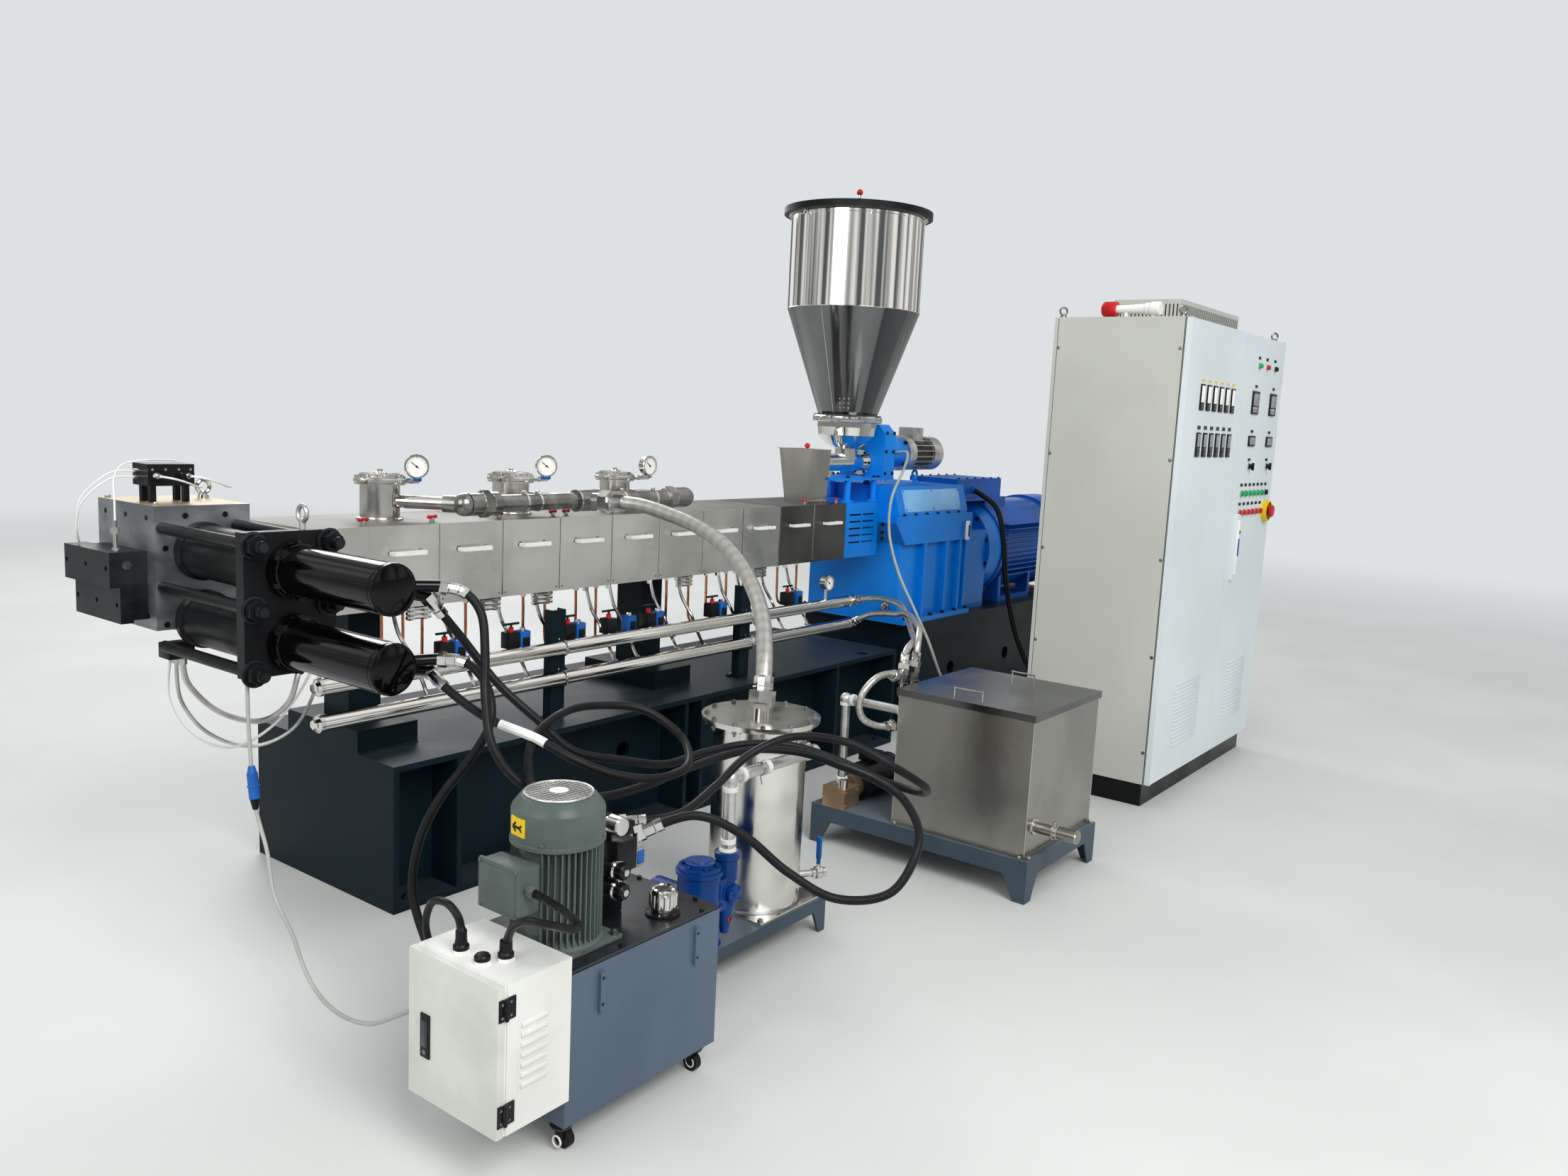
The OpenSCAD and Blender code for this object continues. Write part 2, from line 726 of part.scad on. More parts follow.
// Round bowl with the screw tube that reaches from the feeder gearbox to the funnel.
module feeder_bowl() {
  x0 = fun_x + fun_l;
  r = bowl_d / 2;
  color(steel)
    difference() {
      union() {
        at(hop_x, hop_y, bowl_z)
          rotate_extrude()
            polygon([[0, 0], [60, 4], [110, 30], [r - 6, 70], [r, 110], [r, bowl_h - 30],
              [r + 22, bowl_h - 30], [r + 22, bowl_h], [r - 4, bowl_h], [r - 4, 110],
              [r - 10, 74], [106, 36], [0, 12]]);
        rod_z(hop_x, hop_y, screw_z, 110, bowl_z - screw_z + 8);
        rod_x(x0, 0, screw_z, 90, feed_x - x0);
        rod_x(feed_x - 18, 0, screw_z, 130, 18);
        rod_z(hop_x - 140, 0, feed_z, 40, 60);
      }
      rod_x(x0 - 1, 0, screw_z, 78, feed_x - x0 - 24);
    }
}

// Hopper shell: cone and polished cylinder, open at both ends.
module hopper() {
  r = hopper_d / 2;
  n = bowl_d / 2;
  color(steel)
    at(hop_x, hop_y, cone_z)
      rotate_extrude($fn = 96)
        polygon([[n - 4, 0], [n + 20, 0], [n + 20, 8], [n, 8], [r, cone_h], [r, cone_h + hopper_h],
          [r + 14, cone_h + hopper_h], [r + 14, cone_h + hopper_h + 4], [r - 4, cone_h + hopper_h + 4],
          [r - 4, cone_h + 1], [n - 4, 8]]);
}

module hopper_lid() {
  r = hopper_d / 2;
  color(black)
    at(hop_x, hop_y, lid_z + 4)
      rotate_extrude($fn = 96)
        polygon([[0, 0], [r + 37, 0], [r + 37, 30], [r + 20, 34], [40, 46], [18, 50], [18, 74],
          [12, 80], [0, 80]]);
}

// Louvred guard between the last cover and the gearbox.
module coupling_guard() {
  x0 = x_covers + 2;
  l = gear_x - x0 - 1;
  slots = 5;
  color(blue)
    difference() {
      block(x0, -cover_w / 2, cover_z, l, cover_w, cover_h);
      block(x0 - 1, -cover_w / 2 + 4, cover_z + 4, l + 2, cover_w - 8, cover_h - 7);
      for (i = [0 : slots - 1])
        for (k = [0 : 1])
          block(x0 + 35 + k * 115, -cover_w / 2 - 1, cover_z + 70 + i * 34, 100, 6, 8);
    }
}

// Gearbox: wide upper housing with a cut corner, sloped lid, ribbed lower housing, lantern.
module gearbox() {
  y = gear_w / 2;
  x1 = gear_x + lower_in;
  color(blue)
    union() {
      at(gear_x, y, 0)
        rotate([90, 0, 0])
          linear_extrude(gear_w)
            polygon([[0, gear_mid - 33], [lower_in, gear_low], [gear_l, gear_low],
              [gear_l, gear_mid], [0, gear_mid]]);
      block(gear_x, -barrel_w / 2, axis_z - barrel_h / 2, lower_in + 30, barrel_w, barrel_h);
      block(gear_x, -y + 110, gear_mid - 1, gear_neck + 1, gear_w - 220, cover_top - gear_mid + 1);
      at(gear_x + gear_neck, 0, gear_mid - 1)
        rotate([90, 0, 90])
          linear_extrude(gear_l - gear_neck - 6)
            polygon([[30 - y, 0], [y - 30, 0], [y - 70, gear_top - gear_mid + 1],
              [70 - y, gear_top - gear_mid + 1]]);
      block(x1, -y + 30, drive_h, lower_l, gear_w - 60, gear_low - drive_h + 1);
      for (dx = ribs)
        block(x1 + dx, -y, drive_h, rib_t, gear_w, gear_low - drive_h + 1);
      block(x1 - 5, -y - 22, drive_h, lower_l + 25, gear_w + 44, 26);
      block(lantern_x - 1, -lantern_w / 2, drive_h, lantern_box + 1, lantern_w, lantern_h);
      rod_x(lantern_x + lantern_box - 1, 0, motor_z, 2 * motor_r - 20,
        lantern_l - lantern_box + 1);
    }
}

// Main motor: flange, finned body, fan cowl, feet and the long terminal box over the lantern.
module main_motor() {
  fins = 11;
  fin_gap = 30;
  box_w = 310;
  foot = 210;
  color(blue)
    union() {
      rod_x(motor_x, 0, motor_z, 2 * motor_r, 30);
      rod_x(motor_x + 29, 0, motor_z, 2 * motor_r - 30, motor_l);
      for (i = [0 : fins - 1])
        block(motor_x + 60, -motor_r, motor_z + (i - (fins - 1) / 2) * fin_gap - 3, 620,
          2 * motor_r, 6);
      rod_x(motor_x + motor_l - 60, 0, motor_z, 2 * motor_r, 240);
      block(motor_x + 74, -foot - 30, drive_h, 420, 2 * foot + 60, 30);
      for (x = [motor_x + 74, motor_x + 464])
        for (s = [-1, 1])
          block(x, s * (foot - 10) - 40, drive_h, 30, 80, 180);
      block(motor_box_x - 10, -210, motor_box_z, motor_box_l + 20, box_w + 20, 16);
      block(motor_box_x, -200, motor_box_z + 15, motor_box_l, box_w, 110);
      block(motor_x + 40, -130, motor_z + 200, 260, 200, motor_r - 190);
      rod_y(motor_route[0][0], motor_route[0][1], motor_route[0][2], motor_d + 10, 20);
    }
}

// Polished water main with a hexagon plug at one end and a hose tail at the other.
module water_main(z) {
  end = main_x0 + main_l;
  color(steel)
    union() {
      rod_x(main_x0, main_y, z, main_d, main_l);
      hex_x(main_x0 - 16, main_y, z, 30, 17);
      rod_x(end - 1, main_y, z, 34, water_up[0][0] - end + 1);
    }
}

module water_main_lower() {
  water_main(main_lo);
}

module water_main_upper() {
  water_main(main_hi);
  color(steel)
    union() {
      rod_z(gauge_x, main_y, main_hi + main_d / 2 - 1, 12, 50);
      rod_y(gauge_x, main_y - 15, main_hi + main_d / 2 + 78, 64, 30);
    }
}

// Folded channel post on the ledge behind the mains, its foot plate, four holes for clips.
module pipe_post(x) {
  y0 = main_y + main_d / 2;
  color(dark)
    difference() {
      union() {
        block(x, y0, base_h, post_w, 6, post_h);
        for (dx = [0, post_w - 6])
          block(x + dx, y0, base_h, 6, post_d, post_h);
        block(x, y0, base_h, post_w, 70, 8);
      }
      for (z = [main_lo, main_hi])
        for (s = [-1, 1])
          rod_y(x + post_w / 2, y0 - 1, z + s * (main_d / 2 + 6), 8, 8);
    }
}

module pipe_post_left() {
  pipe_post(post_x[0]);
}

module pipe_post_right() {
  pipe_post(post_x[1]);
}

// Oil tank with a thicker top plate, hanging tabs and four swivel castors.
module oil_tank() {
  color("#5C6570")
    union() {
      block(oil_x, oil_y, oil_z, oil_l, oil_w, oil_h);
      block(oil_x + 2, oil_y + 2, oil_z + oil_h - 1, oil_l - 4, oil_w - 4, 9);
      for (x = [oil_x + 90, oil_x + 400])
        block(x, oil_y - 10, oil_z + oil_h - 110, 14, 11, 90);
      for (x = [oil_x + 15, oil_x + oil_l - 60])
        for (y = [oil_y + 10, oil_y + oil_w - 60]) {
          block(x, y, oil_z - 6, 50, 50, 7);
          rod_x(x + 12, y + 25, 22, 44, 18);
          block(x + 8, y + 17, 22, 5, 16, oil_z - 24);
          block(x + 29, y + 17, 22, 5, 16, oil_z - 24);
        }
    }
}

// Upright flanged motor with fins, fan cowl and terminal box with its cable gland.
module oil_motor() {
  x = oil_motor_at[0];
  y = oil_motor_at[1];
  z = oil_top;
  gland = conduit_route[0];
  color("#59635D")
    union() {
      block(x - 90, y - 100, z, 200, 200, 12);
      rod_z(x, y, z + 11, 170, 30);
      rod_z(x, y, z + 30, 180, 180);
      for (a = [0 : 15 : 345])
        at(x, y, z + 50)
          rotate([0, 0, a])
            translate([80, -2, 0])
              cube([21, 4, 160]);
      rod_z(x, y, z + 200, 206, 100);
      at(x, y, z + 299)
        cylinder(d1 = 206, d2 = 160, h = 44);
      block(x - 162, y - 60, z + 117, 82, 118, 106);
      rod_y(gland[0], gland[1], gland[2], conduit_d + 8, y - 59 - gland[1]);
    }
}

// Valve stack and pump head behind the motor, unions for the hoses.
module oil_valves() {
  x = valve_x;
  y = valve_y;
  z = oil_top;
  color(black)
    union() {
      block(x, y, z, 80, 90, 210);
      block(x + 10, y - 60, z + 130, 60, 61, 60);
      for (dz = [40, 95])
        rod_y(x + 20, y - 60, z + dz, 44, 61);
      block(x + 79, y + 20, z + 60, 60, 60, 60);
      for (r = [hose_up, hose_up_back])
        link(r[len(r) - 1], [x + 60, y + 45, z + 170], 30);
    }
}

module filler_cap() {
  color("#C9C9C7")
    union() {
      rod_z(cap_x, cap_y, oil_top, 84, 6);
      rod_z(cap_x, cap_y, oil_top + 5, 66, 60);
    }
}

// White control box on the tank end: folded shell, open towards its door, cable glands.
module control_box() {
  t = 3;
  x0 = box_x + 24;
  l = box_l - 24;
  pin_x = box_x + 19;
  pin_y = box_y - 5;
  color("#E6E5DF")
    union() {
      difference() {
        block(x0, box_y, box_z, l, box_w, box_h);
        block(x0 - 1, box_y + t, box_z + t, l - t + 1, box_w - 2 * t, box_h - 2 * t);
        for (i = [0 : 6])
          block(box_x + 80, box_y - 1, box_z + 90 + i * 24, 70, t + 2, 5);
      }
      for (z = box_hinges) {
        block(x0, box_y - 3, z, 20, 4, 46);
        for (dz = [0, 34]) {
          rod_z(pin_x, pin_y, z + dz, 9, 12);
          block(pin_x, pin_y, z + dz, 7, 3, 12);
        }
        rod_z(pin_x, pin_y, z, 4, 46);
      }
      for (g = box_glands)
        rod_z(g[0], g[1], box_z + box_h - 1, 26, g[2] - box_z - box_h + 1);
    }
}

module control_box_door() {
  t = 3;
  h = 21.6;
  pin_x = box_x + 19;
  pin_y = box_y - 5;
  color("#E6E5DF")
    difference() {
      union() {
        difference() {
          block(box_x, box_y, box_z, 18, box_w, box_h);
          block(box_x + t, box_y + t, box_z + t, 18, box_w - 2 * t, box_h - 2 * t);
        }
        for (z = box_hinges) {
          block(box_x + 2, box_y - 3, z, 12, 4, 46);
          rod_z(pin_x, pin_y, z + 12.2, 9, h);
          block(pin_x - 7, pin_y - 1, z + 12.2, 6, 5, h);
        }
      }
      for (z = box_hinges)
        rod_z(pin_x, pin_y, z - 1, 4 + 2 * run, 48);
    }
}

module stand(x, y, l, w, h, foot, t) {
  at(x, y, 0)
    union() {
      translate([0, 0, h - t])
        cube([l, w, t]);
      for (fx = [0, 1])
        for (fy = [0, 1])
          translate([fx * l, fy * w, 0])
            mirror([fx, 0, 0])
              mirror([0, fy, 0]) {
                rotate([90, 0, 0])
                  translate([0, 0, -6])
                    linear_extrude(6)
                      polygon([[0, 0], [foot * 0.5, 0], [foot, h - t + 1], [0, h - t + 1]]);
                rotate([90, 0, 90])
                  linear_extrude(6)
                    polygon([[0, 0], [foot * 0.5, 0], [foot, h - t + 1], [0, h - t + 1]]);
              }
    }
}

module vacuum_stand() {
  color(dark)
    stand(vst_x, vst_y, vst_l, vst_w, vst_h, 60, 40);
}

// Round catch pot: square foot plate, flange on top, boss for the vacuum pipe, drain stub.
module catch_pot() {
  drain = [120, -60, 55];
  color(steel)
    at(pot_x, pot_y, vst_h)
      difference() {
        union() {
          translate([-pot_d / 2 - 10, -pot_d / 2 - 10, 0])
            cube([pot_d + 20, pot_d + 20, 8]);
          cylinder(d = pot_d, h = pot_h);
          translate([0, 0, pot_h - 8])
            cylinder(d = pot_d + 72, h = 8);
          translate(drain)
            rotate([0, 90, -30])
              cylinder(d = 22, h = 70);
          translate([pot_side, vac_y - pot_y + vac_bend, vac_z - vst_h])
            rotate([-90, 0, 0])
              cylinder(d = 46, h = pot_y - vac_y - vac_bend);
        }
        translate([0, 0, 8])
          cylinder(d = pot_d - 6, h = pot_h);
      }
}

module catch_pot_lid() {
  color(steel)
    at(pot_x, pot_y, vst_h + pot_h)
      union() {
        cylinder(d = pot_d + 78, h = 8);
        cylinder(d = 50, h = 50);
        translate([0, 0, 30])
          cylinder(d = 62, h = 22, $fn = 6);
      }
}

module vacuum_pump() {
  x = vac_x - 80;
  y = vac_y + 30;
  color("#123F8C")
    union() {
      rod_z(vac_x, vac_y, 330, 62, 80);
      rod_z(vac_x, vac_y, 250, 52, 82);
      at(vac_x, vac_y, 172)
        cylinder(d1 = 24, d2 = 52, h = 80);
      block(x - 10, y - 50, 250, 90, 70, 90);
      rod_z(x, y, vst_h, 120, 270);
      rod_z(x, y, vst_h + 269, 84, 12);
      rod_y(x, y, 250, 110, 160);
    }
}

// Galvanised pipe from the vacuum pump up and across to the catch pot.
module vacuum_pipe() {
  x1 = pot_x + pot_side;
  z0 = 410;
  color("#C6C7C4")
    union() {
      rod_z(vac_x, vac_y, z0, 34, vac_z - z0);
      for (x = [vac_x, x1])
        at(x, vac_y, vac_z)
          sphere(r = vac_bend);
      rod_x(vac_x, vac_y, vac_z, 34, x1 - vac_x);
      rod_y(x1, vac_y, vac_z, 34, vac_bend);
    }
}

module water_stand() {
  color(dark)
    stand(wst_x, wst_y, wst_l, wst_w, wst_h, 90, 60);
}

// Open tank with a foot flange, a drain with its cap and the unions of the water hoses.
module water_tank() {
  t = 3;
  back = tank_y + tank_w;
  elbow_z = drain_z + 350;
  color(steel)
    difference() {
      union() {
        block(tank_x, tank_y, wst_h, tank_l, tank_w, tank_h);
        block(tank_x - 6, tank_y - 6, wst_h, tank_l + 12, tank_w + 12, 4);
        rod_y(drain_x, tank_y - 80, drain_z, 38, 81);
        rod_y(drain_x, tank_y - 160, drain_z, 46, 81);
        for (x = tap_x) {
          rod_y(x, back - 1, elbow_z, 30, 61);
          at(x, tap_y, elbow_z)
            sphere(d = 36);
          rod_z(x, tap_y, elbow_z, 30, tap_z - elbow_z);
        }
        rod_x(water_back[0][0], tap_y, tap_z - 20, 30, tap_x[0] - water_back[0][0]);
      }
      block(tank_x + t, tank_y + t, wst_h + t, tank_l - 2 * t, tank_w - 2 * t, tank_h);
    }
}

// Overhanging lid with a folded rim and two wire handles.
module water_tank_lid() {
  z = wst_h + tank_h;
  lap = 8;
  t = 3;
  color(steel)
    difference() {
      union() {
        block(tank_x - lap, tank_y - lap, z, tank_l + 2 * lap, tank_w + 2 * lap, t);
        block(tank_x - lap, tank_y - lap, z - 22, tank_l + 2 * lap, tank_w + 2 * lap, 23);
        for (g = [[12, 205, 110], [430, 210, 90]])
          at(tank_x + g[0], tank_y + g[1], z + 2) {
            for (dy = [0, g[2]])
              translate([0, dy, 0])
                cylinder(d = 7, h = 44);
            translate([0, -3.5, 40])
              rotate([-90, 0, 0])
                cylinder(d = 7, h = g[2] + 7);
          }
      }
      block(tank_x - lap + t, tank_y - lap + t, z - 23, tank_l + 2 * lap - 2 * t,
        tank_w + 2 * lap - 2 * t, 23);
    }
}

module water_pump() {
  color("#9C8468")
    union() {
      block(1480, -1075, wst_h, 100, 100, 80);
      rod_x(1579, -1025, wst_h + 60, 90, 40);
    }
  color("#4A4F52")
    rod_x(1618, -1025, wst_h + 70, 140, 220);
}

module suction_pipe() {
  x = 1530;
  y = -1025;
  z = 565;
  color("#A9A7A0")
    union() {
      rod_z(x, y, wst_h + 80, 32, z - wst_h - 80);
      at(x, y, z)
        sphere(d = 46);
      rod_y(x, tank_y + tank_w, z, 32, y - tank_y - tank_w);
    }
}

// Cabinet: black plinth, folded shell open at the front, pivot lugs, roof vent.
module cabinet() {
  t = 4;
  y1 = cab_y + door_t + door_gap;
  d = cab_d - door_t - door_gap;
  z1 = plinth + cab_h;
  color(stone)
    difference() {
      union() {
        block(cab_x, y1, plinth, cab_w, d, cab_h);
        block(cab_x + 10, y1 + 10, 0, cab_w - 20, d - 10, plinth + 1);
        block(cab_x + vent_x, y1 + vent_y, z1 - 1, vent_l, vent_w, vent_h + 1);
        for (x = [cab_x, cab_x + cab_w - 2 * hinge_in])
          for (z = [plinth, z1 - 3])
            block(x, cab_y, z, 2 * hinge_in, door_t + door_gap + 1, 3);
      }
      block(cab_x + t, y1 - 1, plinth + t, cab_w - 2 * t, d - t + 1, cab_h - 2 * t);
      block(cab_x + vent_x + 20, y1 + vent_y + 20, z1 - 10, vent_l - 40, vent_w - 40, vent_h + 6);
    }
  color(stone)
    for (x = [cab_x + hinge_in, cab_x + cab_w - hinge_in])
      for (z = [plinth, z1 - 33])
        rod_z(x, cab_y + hinge_back, z, pin, 33);
}

module door(x, w, hx) {
  t = 3;
  z0 = plinth + 4;
  h = cab_h - 8;
  color("#DCDFDC")
    difference() {
      union() {
        difference() {
          block(x, cab_y, z0, w, door_t, h);
          block(x + t, cab_y + t, z0 + t, w - 2 * t, door_t, h - 2 * t);
        }
        for (z = [z0, z0 + h - 36])
          block(hx - hinge_in + 1, cab_y, z, 2 * hinge_in - 2, door_t, 36);
      }
      for (z = [z0 - 1, z0 + h - 31])
        rod_z(hx, cab_y + hinge_back, z, pin + 2 * run, 32);
    }
}

module cabinet_door_left() {
  door(cab_x + 1, split - 3, cab_x + hinge_in);
}

module cabinet_door_right() {
  x0 = cab_x + split;
  door(x0, cab_w - split - 1, cab_x + cab_w - hinge_in);
  color("#E9EBEA")
    block(x0 + grip_x, cab_y - 16, grip_z, 34, 17, grip_h);
}

// Hoses and cables, one tube each
module oil_hose_upper() {
  color(rubber)
    tube(hose_up, hose_d);
}

module oil_hose_upper_back() {
  color(rubber)
    tube(hose_up_back, hose_d);
}

module oil_hose_lower() {
  color(rubber)
    tube(hose_low, hose_d);
}

module oil_hose_lower_back() {
  color(rubber)
    tube(hose_low_back, hose_d);
}

module vacuum_hose() {
  color(braid)
    tube(vacuum_route, vacuum_d, 2);
}

module water_hose_upper() {
  color(braid)
    tube(water_up, water_d);
}

module water_hose_lower() {
  color(braid)
    tube(water_low, water_d);
}

module water_hose_back() {
  color(braid)
    tube(water_back, water_d);
}

module conduit_hose() {
  color(rubber)
    tube(conduit_route, conduit_d, 2);
}

module sensor_cable() {
  color(rubber)
    tube(sensor_route, sensor_d);
}

module feeder_cable() {
  color(stone)
    tube(feeder_route, feeder_d);
}

module motor_cable() {
  color(rubber)
    tube(motor_route, motor_d, 2);
}

base_frame();
drive_platform();
barrel();
barrel_covers();
head_cover();
screen_changer();
strand_die();
cylinder_plate();
cylinder_upper();
cylinder_lower();
changer_valve();
vent_dome_1();
vent_dome_2();
vent_dome_3();
vacuum_manifold();
feed_funnel();
feeder_stand();
feeder_gearbox();
feeder_motor();
feeder_bowl();
hopper();
hopper_lid();
coupling_guard();
gearbox();
main_motor();
water_main_lower();
water_main_upper();
pipe_post_left();
pipe_post_right();
oil_tank();
oil_motor();
oil_valves();
filler_cap();
control_box();
control_box_door();
vacuum_stand();
catch_pot();
catch_pot_lid();
vacuum_pump();
vacuum_pipe();
water_stand();
water_tank();
water_tank_lid();
water_pump();
suction_pipe();
cabinet();
cabinet_door_left();
cabinet_door_right();
oil_hose_upper();
oil_hose_upper_back();
oil_hose_lower();
oil_hose_lower_back();
vacuum_hose();
water_hose_upper();
water_hose_lower();
water_hose_back();
conduit_hose();
sensor_cable();
feeder_cable();
motor_cable();
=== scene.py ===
from itertools import product
from math import cos, hypot, pi, radians, sin, sqrt

import bmesh
import bpy
from mathutils import Matrix, Vector


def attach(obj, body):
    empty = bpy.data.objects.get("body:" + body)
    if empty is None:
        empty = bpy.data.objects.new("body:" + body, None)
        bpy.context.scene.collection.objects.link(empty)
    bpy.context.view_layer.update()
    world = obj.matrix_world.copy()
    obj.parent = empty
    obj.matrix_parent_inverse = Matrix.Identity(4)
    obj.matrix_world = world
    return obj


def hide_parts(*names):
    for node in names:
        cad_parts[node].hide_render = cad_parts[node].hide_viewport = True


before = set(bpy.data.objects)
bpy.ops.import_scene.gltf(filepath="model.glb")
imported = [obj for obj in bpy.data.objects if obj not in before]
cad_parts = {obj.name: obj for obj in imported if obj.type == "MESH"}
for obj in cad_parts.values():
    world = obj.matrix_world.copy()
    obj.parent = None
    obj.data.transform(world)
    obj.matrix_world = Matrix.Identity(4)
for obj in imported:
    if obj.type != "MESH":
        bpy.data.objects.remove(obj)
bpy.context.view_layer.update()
MACHINE = Matrix.Scale(0.001, 4) @ Matrix.Translation((-1500, 0, 0))
# Directions: towards the motor and the die, to the far side and to the camera's side, up and down.
ON, BACK = (1, 0, 0), (-1, 0, 0)
FAR, NEAR = (0, 1, 0), (0, -1, 0)
UP, DOWN = (0, 0, 1), (0, 0, -1)
# The height or depth of a mark that the bump of a finish stands for, in metres.
RELIEF = 0.002


def linear(code):
    """An sRGB hex colour as linear RGBA."""
    parts = [int(code[i : i + 2], 16) / 255 for i in (1, 3, 5)]
    return [c / 12.92 if c <= 0.04045 else ((c + 0.055) / 1.055) ** 2.4 for c in parts] + [1]


def add(tree, kind, settings=(), numbered=(), **named):
    """One shader node with its settings. A socket, given by its number or its name, gets a value
    or a link from another socket."""
    node = tree.nodes.new(kind)
    for key, value in dict(settings).items():
        setattr(node, key, value)
    named = {key.replace("_", " "): value for key, value in named.items()}
    for key, value in {**dict(numbered), **named}.items():
        if isinstance(value, bpy.types.NodeSocket):
            tree.links.new(value, node.inputs[key])
        else:
            node.inputs[key].default_value = value
    return node


def blank(name, metal):
    """A new material with its tree and its shader."""
    mat = bpy.data.materials.new(name)
    mat.use_nodes = True
    shader = mat.node_tree.nodes["Principled BSDF"]
    shader.inputs["Metallic"].default_value = metal
    return mat, mat.node_tree, shader


def grade(tones, places, codes):
    """Sets the two stops of a colour ramp."""
    for stop, place, code in zip(tones.color_ramp.elements, places, codes):
        stop.position, stop.color = place, linear(code)


def finish(name, code, rough=0.5, metal=0.0, other=None, scale=3.0, stretch=(1, 1, 1), swing=0.08,
           bump=0.0, grain=60.0, coat=0.0, dust=None, ior=1.3):
    """A finish whose colour drifts between two tones, whose gloss swings with the same pattern,
    with a fine bump and, where dust is given, that colour gathered on faces that look up."""
    mat, tree, shader = blank(name, metal)
    shader.inputs["Coat Weight"].default_value = coat
    if not metal:
        shader.inputs["IOR"].default_value = ior
    where = add(tree, "ShaderNodeTexCoord")
    spot = add(tree, "ShaderNodeMapping", Vector=where.outputs["Object"], Scale=stretch)
    cloud = add(tree, "ShaderNodeTexNoise", Vector=spot.outputs["Vector"], Scale=scale, Detail=5)
    drift = cloud.outputs["Fac"]
    tones = add(tree, "ShaderNodeValToRGB", Fac=drift)
    tones.color_ramp.interpolation = "EASE"
    grade(tones, (0.35, 0.65), (other or code, code))
    colour = tones.outputs["Color"]
    if dust:
        faces = add(tree, "ShaderNodeNewGeometry")
        level = add(tree, "ShaderNodeSeparateXYZ", Vector=faces.outputs["Normal"])
        upward = add(tree, "ShaderNodeMapRange", Value=level.outputs["Z"], From_Min=0.6,
                     To_Max=0.55)
        patch = add(tree, "ShaderNodeMath", {"operation": "MULTIPLY"},
                    {0: upward.outputs["Result"], 1: drift})
        lay = add(tree, "ShaderNodeMix", {"data_type": "RGBA"},
                  {0: patch.outputs[0], 6: colour, 7: linear(dust)})
        colour = lay.outputs[2]
    tree.links.new(colour, shader.inputs["Base Color"])
    gloss = add(tree, "ShaderNodeMapRange", {"interpolation_type": "SMOOTHSTEP"}, Value=drift,
                From_Min=0.3, From_Max=0.7, To_Min=max(0.03, rough - swing), To_Max=rough + swing)
    tree.links.new(gloss.outputs["Result"], shader.inputs["Roughness"])
    if bump:
        fine = add(tree, "ShaderNodeTexNoise", Vector=spot.outputs["Vector"], Scale=grain, Detail=3)
        push = add(tree, "ShaderNodeBump", Height=fine.outputs["Fac"], Strength=bump,
                   Distance=RELIEF)
        tree.links.new(push.outputs["Normal"], shader.inputs["Normal"])
    return mat


def ridged(name, code, dark, rough, metal, around, along, depth, crossed=True):
    """A hose skin on its own UV: crossed wires of a braid, or the rings of a corrugated conduit,
    with painted shade in the grooves between them. Around and along count the repeats round the
    hose and over its whole length."""
    mat, tree, shader = blank(name, metal)
    shader.inputs["Roughness"].default_value = rough
    where = add(tree, "ShaderNodeTexCoord")
    spot = add(tree, "ShaderNodeSeparateXYZ", Vector=where.outputs["UV"])
    turns, runs = (add(tree, "ShaderNodeMath", {"operation": "MULTIPLY"},
                       {0: spot.outputs[way], 1: count * 2 * pi}).outputs[0]
                   for way, count in ((ROUND, around), (ALONG, along)))
    waves = []
    for sign in ("ADD", "SUBTRACT") if crossed else ("ADD",):
        slant = add(tree, "ShaderNodeMath", {"operation": sign},
                    {0: runs, 1: turns if crossed else 0})
        waves.append(add(tree, "ShaderNodeMath", {"operation": "SINE"}, {0: slant.outputs[0]}))
    top = add(tree, "ShaderNodeMath", {"operation": "MAXIMUM"},
              {0: waves[0].outputs[0], 1: waves[-1].outputs[0]}).outputs[0]
    # The grooves take the dark colour: painted shade between the wires or rings.
    tones = add(tree, "ShaderNodeValToRGB", Fac=top)
    grade(tones, (0, 0.7), (dark, code))
    push = add(tree, "ShaderNodeBump", Height=top, Strength=depth, Distance=RELIEF)
    tree.links.new(tones.outputs["Color"], shader.inputs["Base Color"])
    tree.links.new(push.outputs["Normal"], shader.inputs["Normal"])
    return mat


# Which of a curve's two UV directions runs round it, and which along it.
ROUND, ALONG = 0, 1


# Brushed stainless sheet of the barrel covers, grain down each cover.
covers_steel = finish("covers_steel", "#E8E6E1", 0.3, 1, "#C9C7C1", 2.6, swing=0.1, bump=0.05,
                      grain=220)
# The same sheet on the two covers by the gearbox, dulled with oil and heat.
covers_dull = finish("covers_dull", "#7C7A75", 0.36, 1, "#605E59", 2.6, swing=0.1, bump=0.05,
                     grain=220)
# Their flat tops: duller, and darker as painted shade for the dim reflection on them.
covers_top_shaded = finish("covers_top_shaded", "#7E7C77", 0.58, 1, "#6A6863", 3.2, bump=0.05, grain=220)
# The cone under the hopper, polished steel in darker tones: a painted reflection of a dark floor.
cone_painted_reflection = finish("cone_painted_reflection", "#8A8C8C", 0.14, 1, "#6F7172", 2.0, stretch=(1, 1, 0.3),
                    swing=0.04)
# Mirror polished stainless of the hopper, its bowl and the water mains.
hopper_steel = finish("hopper_steel", "#ECEAE5", 0.09, 1, "#DEDCD6", 2.0, stretch=(1, 1, 0.3),
                      swing=0.04)
# Cold rolled stainless of the tank and the catch pot, cloudy from the rolls.
tank_steel = finish("tank_steel", "#CBC8C0", 0.26, 1, "#B4B1A9", 2.8, stretch=(1, 1, 0.6),
                    swing=0.11, bump=0.05, grain=160)
# Duller sheet of the water tank.
tank_dull = finish("tank_dull", "#A5A29C", 0.28, 1, "#8C8983", 2.6, stretch=(1, 1, 0.6), swing=0.09,
                   bump=0.05, grain=160)
